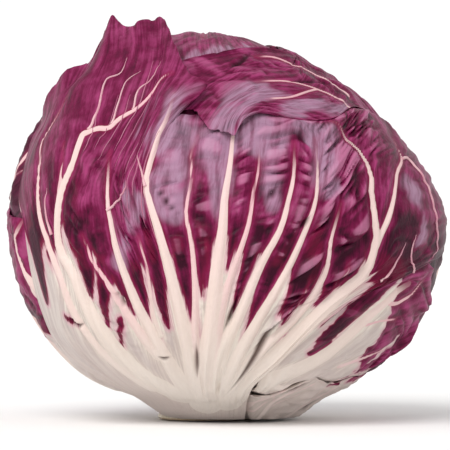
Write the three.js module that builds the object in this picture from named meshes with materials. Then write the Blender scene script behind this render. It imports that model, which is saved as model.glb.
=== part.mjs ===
// A round head of radicchio, standing on its cut stem.
//
// Frame: millimetres, +Z up, the front of the head faces -Y and its right side is +X.
// The origin is the middle of the cut face of the stem.
//
// The head is a slightly squashed ball. A point of its skin is named by a direction from the
// middle of the ball, and every leaf is a sheet laid over the skin: a fan of guide lines runs
// from the stem to the leaf's margin, and rows across the guides make the grid of the sheet.
// Leaves are laid from the outside in. Each one stays under what already covers it.

import * as THREE from 'three';

// ---------- driving dimensions, mm and degrees ----------

const HEAD = {
  centreX: 6,          // the ball leans to the right of its stem
  centreZ: 55,
  halfWide: 62,
  halfDeep: 60,
  halfHigh: 55.2,
  rightFullness: 1.53, // of the upper half; 2 is an ellipse, and less is slimmer
  leftFullness: 1.92,
  baseFullness: 2.06,  // more than 2 makes the lower half fuller
  topLean: 5,          // how far the crown leans back to the left
  lowest: 0.5,         // leaf roots are cut off just above the face of the stem
  droop: 2.6,          // how far the roots bend down to the cut, below the ball
};
const MEAN_RADIUS = 60;                  // turns a height above the skin into a scale
const NEAR_POLE = 0.9995;                // levels past this share the fullness here
const SIDE_STEPS = 12;                   // steps to find which side a front point is on
const NEAR_LIMB = 0.995;                 // front points are kept within this share of the outline
const TINY = 1e-6;
const STEM = { cutRadius: 13.4, bevel: 0.5, topRadius: 8, height: 16, sides: 32 };
const LEAF_RING = 14.4;                  // leaves grow from this radius round the stem
// The blade is thicker up to rootEnds of its length, and thins from thinFrom to its margin.
const BLADE = {
  thick: 1.0, marginThick: 0.75, rootThick: 2.8, gap: 0.75, rootEnds: 0.2, thinFrom: 0.875,
};
const COVER = { reach: 10, soften: 6, cellStep: 3, open: 3 };
// least: half width below which a rib isn't modelled, degrees. A rib dies out within 'sides' of
// a guide from the sides of its leaf, and from 'ends' of the leaf's length to the margin.
const RIB = { least: 2.0, sides: 0.5, ends: 0.9, tipWide: 1.4, tipHigh: 0.8 };
const UNHELD = 99;                       // a ceiling that no leaf reaches
const SINK = { deep: 0.9, ends: 0.28 };  // the leaf sinks at its root, under its ribs
const WAVE = { high: 1.3, from: 0.8, perGuide: 0.75, ragged: 0.9, tears: 5, tearsFrom: 4 };
const HEART = { rest: -3, around: 45, rows: 22, tips: 5, twist: 160, tipRelief: 2, tipsEnd: [75, 45] };

const COLOUR = {
  burgundy: 0x74264a,
  deepBurgundy: 0x5e1a3c,
  mauve: 0x8c4468,
  cream: 0xe2d6c8,
  heart: 0x9a5a78,
  stem: 0xddd2bd,
};

// ---------- the skin of the head ----------

const rad = THREE.MathUtils.degToRad;
const deg = THREE.MathUtils.radToDeg;
const smooth = (a, b, x) => THREE.MathUtils.smoothstep(x, Math.min(a, b), Math.max(a, b));
const rise = (a, b, x) => (a < b ? smooth(a, b, x) : 1 - smooth(b, a, x));

// Direction by its bearing round +Z (front is -90, right is 0) and its height angle.
function turned(bearing, height) {
  const level = Math.cos(rad(height));
  return new THREE.Vector3(
    level * Math.cos(rad(bearing)),
    level * Math.sin(rad(bearing)),
    Math.sin(rad(height)),
  );
}

function leanAt(z) {
  return z > 0 ? -HEAD.topLean * z * z : 0;
}

// How wide the ball is at a level, as a share of an ellipsoid's width there. side runs from -1
// on the left of the head to 1 on its right.
function fullness(z, side) {
  const top = THREE.MathUtils.lerp(HEAD.leftFullness, HEAD.rightFullness, (side + 1) / 2);
  const power = z < 0 ? HEAD.baseFullness : top;
  const level = Math.min(Math.abs(z), NEAR_POLE);
  return Math.pow(1 - Math.pow(level, power), 1 / power) / Math.sqrt(1 - level * level);
}

// The point of the skin in a direction, raised by a height.
function skin(dir, height = 0) {
  const grow = 1 + height / MEAN_RADIUS;
  const side = dir.x / Math.max(Math.hypot(dir.x, dir.y), TINY);
  const wide = fullness(dir.z, side) * grow;
  const droop = HEAD.droop * rise(0.9, 0.965, -dir.z);
  return new THREE.Vector3(
    HEAD.centreX + leanAt(dir.z) + HEAD.halfWide * dir.x * wide,
    HEAD.halfDeep * dir.y * wide,
    Math.max(HEAD.lowest, HEAD.centreZ + HEAD.halfHigh * dir.z * grow - droop),
  );
}

// The direction of a point given on the front elevation, by its x and z.
function front(x, z) {
  const up = (z - HEAD.centreZ) / HEAD.halfHigh;
  const middle = HEAD.centreX + leanAt(Math.min(up, 1));
  const level = Math.sqrt(Math.max(1 - up * up, TINY));
  let across = 0;
  for (let step = 0; step < SIDE_STEPS; step += 1) {
    const side = THREE.MathUtils.clamp(across / level, -1, 1);
    across = (x - middle) / HEAD.halfWide / fullness(up, side);
  }
  const reach = Math.min(Math.hypot(across, up), NEAR_LIMB);
  const angle = Math.atan2(up, across);
  const sx = reach * Math.cos(angle);
  const sz = reach * Math.sin(angle);
  return new THREE.Vector3(sx, -Math.sqrt(1 - reach * reach), sz);
}

// The direction of a point on the ring round the stem that the leaves grow from.
function root(bearing) {
  const dx = (LEAF_RING * Math.cos(rad(bearing)) - HEAD.centreX) / HEAD.halfWide;
  const dy = (LEAF_RING * Math.sin(rad(bearing))) / HEAD.halfDeep;
  const out = Math.hypot(dx, dy);
  const power = HEAD.baseFullness;
  const down = Math.pow(1 - Math.pow(out, power), 1 / power);
  const level = Math.sqrt(1 - down * down);
  return new THREE.Vector3((dx / out) * level, (dy / out) * level, -down);
}

// ---------- a flat chart round the middle of a leaf ----------

// Distances and bearings from the middle are true, in degrees of arc.
class Chart {
  constructor(middle) {
    this.middle = middle.clone().normalize();
    this.right = new THREE.Vector3(0, 0, 1).cross(this.middle).normalize();
    this.up = this.middle.clone().cross(this.right);
  }

  flat(dir) {
    const angle = deg(Math.acos(THREE.MathUtils.clamp(dir.dot(this.middle), -1, 1)));
    const a = dir.dot(this.right);
    const b = dir.dot(this.up);
    const size = Math.hypot(a, b) || 1;
    return new THREE.Vector2((a / size) * angle, (b / size) * angle);
  }

  dir(flat) {
    const angle = rad(flat.length());
    const turn = Math.atan2(flat.y, flat.x);
    return this.middle.clone().multiplyScalar(Math.cos(angle))
      .addScaledVector(this.right, Math.sin(angle) * Math.cos(turn))
      .addScaledVector(this.up, Math.sin(angle) * Math.sin(turn));
  }
}

// A smooth curve through chart points, read by its share of the length.
function curve(points) {
  return new THREE.CatmullRomCurve3(
    points.map((p) => new THREE.Vector3(p.x, p.y, 0)), false, 'centripetal');
}

function distanceToLine(p, line) {
  let best = { far: Infinity, along: 0 };
  for (let i = 0; i + 1 < line.length; i += 1) {
    const ab = line[i + 1].clone().sub(line[i]);
    const along = THREE.MathUtils.clamp(p.clone().sub(line[i]).dot(ab) / ab.lengthSq(), 0, 1);
    const far = p.distanceTo(line[i].clone().addScaledVector(ab, along));
    if (far < best.far) best = { far, along: (i + along) / (line.length - 1) };
  }
  return best;
}

// ---------- what already covers the head ----------

// For each cell of direction: the lowest height of the inner faces laid so far.
class Cover {
  constructor() {
    this.cells = [];
    for (let h = -90 + COVER.cellStep / 2; h < 90; h += COVER.cellStep) {
      for (let b = -180 + COVER.cellStep / 2; b < 180; b += COVER.cellStep) {
        const size = Math.cos(rad(h));
        this.cells.push({ dir: turned(b, h), size, low: COVER.open, under: COVER.open });
      }
    }
    this.around = Math.round(360 / COVER.cellStep);
    this.levels = Math.round(180 / COVER.cellStep);
  }

  lay(dir, height) {
    const h = deg(Math.asin(THREE.MathUtils.clamp(dir.z, -1, 1)));
    const b = deg(Math.atan2(dir.y, dir.x));
    const row = THREE.MathUtils.clamp(Math.floor((h + 90) / COVER.cellStep), 0, this.levels - 1);
    const column = Math.floor((b + 180) / COVER.cellStep) % this.around;
    const cell = this.cells[row * this.around + column];
    cell.low = Math.min(cell.low, height);
  }

  // Each cell takes the lowest height within reach of it.
  spread() {
    const near = Math.cos(rad(COVER.reach));
    const laid = this.cells.filter((cell) => cell.low < COVER.open);
    for (const cell of this.cells) {
      cell.under = cell.low;
      for (const other of laid) {
        if (other.low < cell.under && cell.dir.dot(other.dir) > near) cell.under = other.low;
      }
    }
  }

  limit(dir) {
    const near = Math.cos(rad(COVER.soften));
    let sum = 0;
    let weight = 0;
    for (const cell of this.cells) {
      const closeness = cell.dir.dot(dir) - near;
      if (closeness > 0) {
        const share = closeness * cell.size;
        sum += share * cell.under;
        weight += share;
      }
    }
    return sum / weight;
  }
}

const cover = new Cover();

// ---------- leaves ----------

function ribHeight(ribs, flat) {
  let height = 0;
  for (const rib of ribs) {
    const { far, along } = distanceToLine(flat, rib.line);
    const wide = Math.max(RIB.least, THREE.MathUtils.lerp(rib.wide[0], rib.wide[1], along));
    const high = THREE.MathUtils.lerp(rib.high[0], rib.high[1], along);
    const share = Math.max(0, 1 - far / wide);
    height = Math.max(height, high * share);
  }
  return height;
}

// Columns of the fan: each guide, and as many lines as asked between it and the next.
function fanColumns(guides, between) {
  const columns = [];
  for (let g = 0; g + 1 < guides.length; g += 1) {
    for (let k = 0; k <= between; k += 1) {
      const share = k / (between + 1);
      columns.push({ left: guides[g], right: guides[g + 1], share, place: g + share });
    }
  }
  const last = guides.length - 1;
  columns.push({ left: guides[last], right: guides[last], share: 0, place: last });
  return columns;
}

// A closed sheet from two alike grids of points, outer and inner.
function sheetGeometry(outer, inner) {
  const columns = outer.length;
  const rows = outer[0].length;
  const positions = [];
  for (const face of [outer, inner]) {
    for (const column of face) for (const p of column) positions.push(p.x, p.y, p.z);
  }
  const at = (face, i, j) => face * columns * rows + i * rows + j;
  const index = [];
  for (let i = 0; i + 1 < columns; i += 1) {
    for (let j = 0; j + 1 < rows; j += 1) {
      const [a, b, c, d] = [at(0, i, j), at(0, i + 1, j), at(0, i + 1, j + 1), at(0, i, j + 1)];
      const [e, f, g, h] = [at(1, i, j), at(1, i + 1, j), at(1, i + 1, j + 1), at(1, i, j + 1)];
      index.push(a, b, c, a, c, d, e, g, f, e, h, g);
    }
  }
  const rim = [];
  for (let i = 0; i < columns; i += 1) rim.push([i, 0]);
  for (let j = 1; j < rows; j += 1) rim.push([columns - 1, j]);
  for (let i = columns - 2; i >= 0; i -= 1) rim.push([i, rows - 1]);
  for (let j = rows - 2; j >= 1; j -= 1) rim.push([0, j]);
  rim.forEach(([i, j], k) => {
    const [m, n] = rim[(k + 1) % rim.length];
    index.push(at(0, m, n), at(0, i, j), at(1, i, j), at(0, m, n), at(1, i, j), at(1, m, n));
  });
  const geometry = new THREE.BufferGeometry();
  geometry.setAttribute('position', new THREE.Float32BufferAttribute(positions, 3));
  geometry.setIndex(index);
  geometry.computeVertexNormals();
  return geometry;
}

// leaf: name, colour, middle, guides and ribs (directions), between and rows (how fine its grid
// is), rest (height of the blade), wavy (share of the margin's wave), lift(place, v), standing
// for a leaf with a corner that leaves the skin, and free(place, v) for a part that isn't held
// under its neighbours. place counts the guides from the left, and v runs from stem to margin.
function makeLeaf(leaf) {
  const chart = new Chart(leaf.middle);
  const guides = leaf.guides.map((line) => curve(line.map((dir) => chart.flat(dir))));
  const ribs = leaf.ribs.map((rib) => ({ ...rib, line: rib.line.map((dir) => chart.flat(dir)) }));
  const columns = fanColumns(guides, leaf.between);
  const outer = [];
  const inner = [];
  const heights = [];
  const flats = [];
  for (const column of columns) {
    const outerColumn = [];
    const innerColumn = [];
    const heightColumn = [];
    const flatColumn = [];
    for (let r = 0; r <= leaf.rows; r += 1) {
      const v = r / leaf.rows;
      const tear = 1 + Math.sin(WAVE.tears * column.place + leaf.rows);
      const torn = WAVE.ragged * tear * v ** WAVE.tearsFrom;
      const a = column.left.getPointAt(v * (1 - torn / column.left.getLength()));
      const b = column.right.getPointAt(v * (1 - torn / column.right.getLength()));
      const flat = new THREE.Vector2(a.x, a.y).lerp(new THREE.Vector2(b.x, b.y), column.share);
      const dir = chart.dir(flat);
      const side = Math.min(column.place, guides.length - 1 - column.place);
      const rib = ribHeight(ribs, flat) * rise(0, RIB.sides, side) * rise(1, RIB.ends, v);
      const sink = SINK.deep * rise(SINK.ends, 0, v);
      const free = leaf.free ? leaf.free(column.place, v) : 0;
      const ceiling = THREE.MathUtils.lerp(cover.limit(dir) - BLADE.gap, UNHELD, free);
      const lift = leaf.lift ? leaf.lift(column.place, v) : 0;
      const wave = WAVE.high * (leaf.wavy ?? 1)
        * (0.5 + 0.5 * Math.sin(2 * Math.PI * WAVE.perGuide * column.place + leaf.rows));
      const wanted = leaf.rest - sink + lift + wave * rise(WAVE.from, 1, v);
      const blade = Math.min(wanted, ceiling - rib);
      const fleshy = THREE.MathUtils.lerp(BLADE.thick, BLADE.rootThick, rise(BLADE.rootEnds, 0, v));
      const thick = THREE.MathUtils.lerp(BLADE.marginThick, fleshy, rise(1, BLADE.thinFrom, v));
      const place = (f, h) => (leaf.standing ? standOff(chart, f, h) : skin(chart.dir(f), h));
      outerColumn.push(place(flat, blade + rib));
      innerColumn.push(place(flat, blade - thick));
      heightColumn.push(blade - thick);
      flatColumn.push(flat);
    }
    outer.push(outerColumn);
    inner.push(innerColumn);
    heights.push(heightColumn);
    flats.push(flatColumn);
  }
  layOnCover(chart, flats, heights);
  const mesh = new THREE.Mesh(
    sheetGeometry(outer, inner),
    new THREE.MeshStandardMaterial({ color: leaf.colour, roughness: 0.45, metalness: 0 }),
  );
  mesh.name = leaf.name;
  return mesh;
}

function layOnCover(chart, flats, heights) {
  const steps = 5;
  for (let i = 0; i + 1 < flats.length; i += 1) {
    for (let j = 0; j + 1 < flats[i].length; j += 1) {
      for (let a = 0; a <= steps; a += 1) {
        for (let b = 0; b <= steps; b += 1) {
          const [u, v] = [a / steps, b / steps];
          const low = flats[i][j].clone().lerp(flats[i + 1][j], u);
          const high = flats[i][j + 1].clone().lerp(flats[i + 1][j + 1], u);
          const h = THREE.MathUtils.lerp(
            THREE.MathUtils.lerp(heights[i][j], heights[i + 1][j], u),
            THREE.MathUtils.lerp(heights[i][j + 1], heights[i + 1][j + 1], u), v);
          cover.lay(chart.dir(low.lerp(high, v)), h);
        }
      }
    }
  }
  cover.spread();
}

// ---------- the standing corner of the front leaf ----------

// It leaves the skin at this angle from the front. It stands over these turns of the front chart.
const STANDING = { leaves: 53, from: 84, full: 92, fade: 130, end: 150, walk: 60, stride: 0.7 };
// Places count the guides of the leaf from its left; from and full are shares of its length.
const LOBE = {
  height: 4.2, from: 0.72, full: 0.95, left: [1.5, 3.5], right: [8, 7], freeFrom: 0.66, ends: 7.9,
};
// The left side of the front leaf is pressed down.
const TUCK = { deep: 2, places: 3, from: 0.2, full: 0.6 };
// The tongue of the crown leaf curls up off the front leaf.
const LIP = { high: 3, from: 0.86, left: [0, 0.8], right: [2.8, 2] };

// The direction of a point given on the front elevation, for the corner that leaves the skin.
// It walks over the chart until the corner's own point is there.
function standing(x, z) {
  const chart = new Chart(turned(-90, 0));
  const flat = new THREE.Vector2(x - HEAD.centreX, z - HEAD.centreZ);
  for (let step = 0; step < STANDING.walk; step += 1) {
    const point = standOff(chart, flat, LOBE.height);
    flat.x += STANDING.stride * (x - point.x);
    flat.y += STANDING.stride * (z - point.z);
  }
  return chart.dir(flat);
}

function standOff(chart, flat, height) {
  const wrapped = skin(chart.dir(flat), height);
  const angle = flat.length();
  const turn = deg(Math.atan2(flat.y, flat.x));
  const share = rise(STANDING.from, STANDING.full, turn) * rise(STANDING.end, STANDING.fade, turn);
  if (angle <= STANDING.leaves || share === 0) return wrapped;
  const start = flat.clone().setLength(STANDING.leaves);
  const next = flat.clone().setLength(STANDING.leaves + 1);
  const from = skin(chart.dir(start), height);
  const step = skin(chart.dir(next), height).sub(from);
  return wrapped.lerp(from.addScaledVector(step, angle - STANDING.leaves), share);
}

// ---------- the leaves, from the outside in ----------

const frontLine = (pairs) => pairs.map(([x, z]) => front(x, z));
const turnedLine = (pairs) => pairs.map(([bearing, height]) => turned(bearing, height));

function rib(line, wide, high) {
  return { line, wide, high };
}

// Ribs down the guides of a leaf whose ribs follow them, all but the two side guides.
function ribsOnGuides(guides, wide, high) {
  return guides.slice(1, -1).map((line, k, all) => {
    const middle = 1 - Math.abs((k - (all.length - 1) / 2) / all.length);
    return rib(line, [wide * middle, RIB.tipWide], [high * middle, RIB.tipHigh]);
  });
}

const crownRightGuides = [
  [root(20), ...turnedLine([[16, -40], [14, -5], [6, 25], [-20, 37]]),
    ...frontLine([[34, 84.5], [24, 84.5], [11, 88]])],
  [root(33), ...turnedLine([[30, -40], [28, -5], [20, 30], [-8, 48]]),
    ...frontLine([[34, 90], [22, 89.5], [12, 87], [8.5, 83], [7.5, 78]])],
  [root(46), ...turnedLine([[44, -40], [42, 0], [35, 35], [5, 58]]),
    ...frontLine([[26, 94], [14, 92], [5, 86], [1.5, 80.5]])],
  [root(60), ...turnedLine([[60, -40], [58, 0], [52, 35], [35, 60]]),
    ...frontLine([[24, 99], [12, 98], [2, 93], [-6.5, 86.5]])],
  [root(75), ...turnedLine([[75, -40], [72, 0], [68, 35], [60, 60]]),
    ...frontLine([[26, 102], [14, 103], [1, 101], [-13, 97]])],
];

const frontGuides = [
  [root(-146),
    ...frontLine([[-30, 12], [-41, 20], [-47, 31], [-51, 45], [-52.5, 55]]),
    ...turnedLine([[-172, 10], [-180, 22], [175, 32]])],
  [root(-138),
    ...frontLine([[-27, 13], [-37, 26], [-40, 42], [-45, 55], [-48, 65], [-48.5, 76], [-42.5, 88]]),
    standing(-39.5, 97), standing(-34.5, 106)],
  [root(-130),
    ...frontLine([[-24, 13], [-33, 28], [-37, 43], [-41, 56], [-42, 66], [-41.5, 77], [-38.5, 89]]),
    standing(-35, 101), standing(-30, 111.5)],
  [root(-122),
    ...frontLine([[-20, 13], [-29, 26], [-34, 40], [-38, 54], [-37, 68], [-33, 81], [-29, 92]]),
    standing(-27, 103), standing(-26, 113.8)],
  [root(-114),
    ...frontLine([[-17, 13], [-26, 26], [-31, 40], [-34, 54], [-32, 68], [-26, 81], [-21, 92]]),
    standing(-19, 102), standing(-19, 111.8)],
  [root(-107),
    ...frontLine([[-13, 12], [-18, 28], [-22, 42], [-26, 57], [-27, 68], [-21, 80], [-15, 90]]),
    standing(-12.5, 101), standing(-11.5, 113.2)],
  [root(-101),
    ...frontLine([[-9, 12], [-13, 27], [-17, 43], [-21, 56], [-22, 67], [-17, 78], [-11, 88]]),
    standing(-7.5, 96), standing(-5.5, 101)],
  [root(-96),
    ...frontLine([[-6, 13], [-9.5, 28], [-12.5, 42], [-17, 55], [-18.5, 65], [-16.5, 74],
      [-12, 82], [-5, 88], [1, 90.5]])],
  [root(-92),
    ...frontLine([[-4, 16], [-7, 30], [-10, 44], [-14, 55], [-16, 65], [-14, 72], [-11, 79],
      [-8, 84.5]])],
  [root(-87),
    ...frontLine([[-1.5, 16], [-2, 30], [-3, 42], [-5, 52], [-5, 62], [-4, 70], [-3, 78], [-1, 87.5]])],
  [root(-82),
    ...frontLine([[0.5, 14], [1.5, 24], [3, 38], [5, 50], [6, 62], [7, 73], [8, 80], [8, 91]])],
  [root(-77),
    ...frontLine([[3, 13], [5, 26], [7.5, 38], [10.5, 50], [14, 62], [15.5, 73], [16, 80], [17, 91]])],
  [root(-72),
    ...frontLine([[4.5, 13], [8, 26], [12, 38], [16.5, 48], [21, 60], [24, 70], [25, 78], [25, 90]])],
  [root(-66),
    ...frontLine([[6.5, 12], [12, 23], [18, 34], [22, 44], [26, 54], [29.5, 63], [31, 71], [31, 86]])],
  [root(-60),
    ...frontLine([[9, 12], [16, 20], [23, 31], [30, 39], [34, 50], [37, 60], [38, 70], [39, 80],
      [40, 88]])],
  [root(-55),
    ...frontLine([[11, 10.5], [19, 19], [27.5, 28.5], [35.5, 36], [43.5, 41.5], [47, 48],
      [47.5, 60], [47, 74], [46, 84], [44, 91]])],
  [root(-51),
    ...frontLine([[12, 10.5], [19.5, 19], [28, 28], [36.5, 35.5], [44.5, 40.5], [51, 46.5],
      [53, 58], [54, 70], [55, 78]]),
    turned(2, 44)],
  [root(-47),
    ...frontLine([[13, 10.5], [20.2, 18], [28.8, 26.8], [38, 33.8], [46, 38.8], [54, 43],
      [61, 47.5], [64.5, 55], [63.5, 64]]),
    turned(2, 24), turned(16, 40)],
  [root(-43),
    ...frontLine([[14, 10.5], [20.5, 16.5], [29.5, 25], [38.8, 32], [47.5, 37.2], [56, 41],
      [62, 44]]),
    ...turnedLine([[-6, -8], [8, 2], [20, 18], [26, 34]])],
];

const frontRibs = [
  rib(frontLine([[0, 5], [1, 22], [3, 38], [5, 50], [6, 62], [8, 81]]), [5, 1.2], [3.4, 0.9]),
  rib(frontLine([[-1, 11], [-2, 27], [-3, 42], [-5, 56], [-3, 75]]), [2, 1], [1.7, 0.9]),
  rib(frontLine([[-1, 7], [-6, 22], [-8, 39], [-14, 55], [-16, 65], [-12, 78],
    [-8, 85]]), [3.4, 1.2], [3.1, 1.2]),
  rib(frontLine([[-4, 7], [-16, 23], [-19, 34], [-25, 57], [-27, 68], [-26, 77]]), [3.4, 1.2],
    [3.1, 1.2]),
  rib(frontLine([[-13, 14], [-20, 28], [-30, 44], [-34, 58]]), [2, 1], [1.7, 0.8]),
  rib(frontLine([[-7, 6], [-21, 11], [-31, 23], [-34, 38], [-40, 50], [-41, 58],
    [-40, 75]]), [4.4, 1.2], [3.4, 1]),
  rib(frontLine([[-40, 62], [-34, 77], [-30, 82], [-23, 85], [-13, 92], [-10, 95]]), [1.8, 1.2],
    [2, 1]),
  rib([...frontLine([[-30, 82], [-29, 88]]), standing(-22, 101)], [1.6, 1], [1.5, 0.8]),
  rib([...frontLine([[-19, 88], [-17, 92]]), standing(-14, 99)], [1.4, 1], [1.4, 0.8]),
  rib(frontLine([[-10, 7], [-27, 13], [-37, 26], [-40, 42], [-48, 62], [-47, 78],
    [-37, 91]]), [3, 1.2], [2.8, 1.2]),
  rib(frontLine([[3, 11], [7, 38], [14, 65], [15, 78]]), [2, 1], [1.7, 0.8]),
  rib(frontLine([[2, 7], [6, 22], [11, 36], [19, 54], [24, 70], [25, 78]]), [3, 1.2], [2.8, 1]),
  rib(frontLine([[3, 6], [13, 22], [19, 33], [24, 48], [30, 63], [31, 70]]), [3, 1.2], [2.8, 1]),
  rib(frontLine([[5, 6], [16, 21], [26, 32], [33, 43], [37, 60]]), [3, 1.2], [2.8, 1]),
  rib(frontLine([[6, 6], [19, 17], [27, 27], [43, 39], [47, 46], [48, 54], [46, 68],
    [34, 86]]), [4, 1.6], [3.4, 1.2]),
  rib(frontLine([[48, 55], [51, 62], [56, 74]]), [1.8, 1.2], [1.7, 1]),
  rib(frontLine([[63, 47], [65, 51], [64, 59], [57, 74]]), [1.6, 1.2], [1.5, 0.9]),
];

// How far a place on the front leaf is lifted into its standing corner, or tucked in at its left.
function lobeLift(place, v) {
  const lobe = rise(...LOBE.left, place) * rise(...LOBE.right, place) * rise(LOBE.from, LOBE.full, v);
  return LOBE.height * lobe - TUCK.deep * rise(TUCK.places, 0, place) * rise(TUCK.from, TUCK.full, v);
}

function crownLip(place, v) {
  return LIP.high * rise(LIP.from, 1, v) * rise(...LIP.left, place) * rise(...LIP.right, place);
}

const leaves = [
  {
    name: 'leaf_crown_right', colour: COLOUR.burgundy, middle: turned(20, 25), guides: crownRightGuides,
    ribs: ribsOnGuides(crownRightGuides, 4, 2.2), between: 3, rows: 20, rest: 0.6,
    lift: crownLip, wavy: 0.3,
  },
  {
    name: 'leaf_front', colour: COLOUR.burgundy, middle: turned(-90, 0), guides: frontGuides,
    ribs: frontRibs, between: 1, rows: 20, rest: 0,
    lift: lobeLift,
    free: (place, v) => (place < LOBE.ends ? rise(LOBE.freeFrom, LOBE.from, v) : 0),
    standing: true,
  },
  rulesLeaf('leaf_base_right', COLOUR.cream, turned(-20, -65), [
    [root(-70), ...frontLine([[9, 6.5], [11, 10]])],
    [root(-55), ...frontLine([[15, 6], [20, 12]])],
    [root(-40), ...frontLine([[20, 5.5], [31, 13.5]])],
    [root(-25), ...turnedLine([[-30, -66], [-25, -52]])],
    [root(-8), ...turnedLine([[-12, -66], [-8, -48]])],
    [root(10), ...turnedLine([[6, -66], [8, -46]])],
    [root(28), ...turnedLine([[24, -66], [24, -50]])],
  ], { between: 1, rows: 8, rest: -0.4, wide: 3, high: 1 }),
  rulesLeaf('leaf_right_low', COLOUR.burgundy, turned(-35, -35), [
    [root(-62), ...frontLine([[20, 22], [34, 37], [47, 46], [58, 48]])],
    [root(-56), ...frontLine([[22, 17], [35, 28], [48, 38]]), turned(-22, -9)],
    [root(-50), ...frontLine([[24, 12], [35, 19], [46, 28.5], [54, 36.5]]), turned(-15, -14)],
    [root(-43), ...frontLine([[25, 9.6], [38, 16], [50, 24.5]]), turned(-9, -23)],
    [root(-36), ...frontLine([[26, 7.6], [39, 12]]), turned(-10, -33)],
    [root(-30), ...frontLine([[25, 6], [34, 8]]), turned(-16, -45)],
    [root(-24), ...frontLine([[22, 5], [28, 6]]), turned(-28, -57)],
  ], { between: 1, rows: 13, rest: -0.8, wide: 4, high: 2.4 }),
  rulesLeaf('leaf_back_low', COLOUR.mauve, turned(92, -35), [
    [root(56), ...turnedLine([[50, -45], [50, -18]])],
    [root(73), ...turnedLine([[72, -45], [70, -2]])],
    [root(92), ...turnedLine([[94, -45], [94, 4]])],
    [root(111), ...turnedLine([[116, -45], [117, -3]])],
    [root(128), ...turnedLine([[136, -45], [136, -20]])],
  ], { between: 3, rows: 12, rest: 0.6, wide: 5, high: 2.6 }),
  rulesLeaf('leaf_left', COLOUR.mauve, turned(180, -30), [
    [root(155), ...turnedLine([[148, -45], [143, -12], [142, 10]])],
    [root(170), ...turnedLine([[164, -45], [160, -12], [158, 12]])],
    [root(-172), ...turnedLine([[-178, -45], [178, -12], [176, 7]])],
    [root(-155), ...turnedLine([[-160, -45], [-164, -14], [-168, 4]])],
    [root(-140), ...turnedLine([[-143, -45], [-146, -17], [-150, 0]])],
  ], { between: 3, rows: 12, rest: -0.9, wide: 4.5, high: 2.4 }),
  rulesLeaf('leaf_crown_left', COLOUR.burgundy, turned(115, 35), [
    [root(80), ...turnedLine([[76, -40], [72, 0], [62, 38], [22, 60]]), ...frontLine([[29, 96]])],
    [root(101), ...turnedLine([[97, -40], [94, 0], [88, 42], [52, 76]]), ...frontLine([[16, 99]])],
    [root(122), ...turnedLine([[120, -40], [118, 0], [115, 45], [108, 82]]), ...frontLine([[3, 94]])],
    [root(143), ...turnedLine([[143, -40], [143, 0], [143, 40], [162, 70]]), ...frontLine([[-12, 93]])],
    [root(160), ...turnedLine([[165, -40], [168, 0], [165, 35],
      [-172, 58]]), ...frontLine([[-26, 91]])],
  ], { between: 3, rows: 18, rest: -1.2, wide: 4, high: 2.2 }),
  rulesLeaf('leaf_back_left', COLOUR.deepBurgundy, turned(155, 10), [
    [root(135), ...turnedLine([[130, -30], [130, 20], [115, 56]])],
    [root(150), ...turnedLine([[145, -30], [145, 25], [130, 64]])],
    [root(165), ...turnedLine([[162, -30], [162, 25], [155, 66]])],
    [root(180), ...turnedLine([[-178, -30], [180, 20], [178, 58]])],
    [root(-165), ...turnedLine([[-160, -30], [-162, 20], [-165, 50]])],
  ], { between: 1, rows: 14, rest: -0.6, wide: 4, high: 1.2 }),
  rulesLeaf('leaf_inner_right', COLOUR.deepBurgundy, turned(10, 10), [
    [root(-20), ...turnedLine([[-25, -30], [-28, 20], [-32, 55]])],
    [root(-1), ...turnedLine([[-1, -30], [0, 25], [0, 66]])],
    [root(18), ...turnedLine([[20, -30], [22, 25], [42, 68]])],
    [root(36), ...turnedLine([[42, -30], [46, 20], [66, 60]])],
  ], { between: 2, rows: 14, rest: -1, wide: 4, high: 1.2 }),
  rulesLeaf('leaf_inner_top', COLOUR.deepBurgundy, turned(-90, 15), [
    [root(-120), ...turnedLine([[-125, -30], [-128, 20], [-140, 60]])],
    [root(-100), ...turnedLine([[-102, -30], [-104, 30], [-122, 74]])],
    [root(-80), ...turnedLine([[-77, -30], [-76, 30], [-52, 74]])],
    [root(-60), ...turnedLine([[-54, -30], [-50, 20], [-38, 58]])],
  ], { between: 2, rows: 14, rest: -1.4, wide: 4, high: 1.2 }),
];

// A leaf whose ribs follow its own guides.
function rulesLeaf(name, colour, middle, guides, size) {
  const { between, rows, rest, wide, high } = size;
  return { name, colour, middle, guides, between, rows, rest, ribs: ribsOnGuides(guides, wide, high) };
}

// ---------- the heart and the stem ----------

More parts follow.
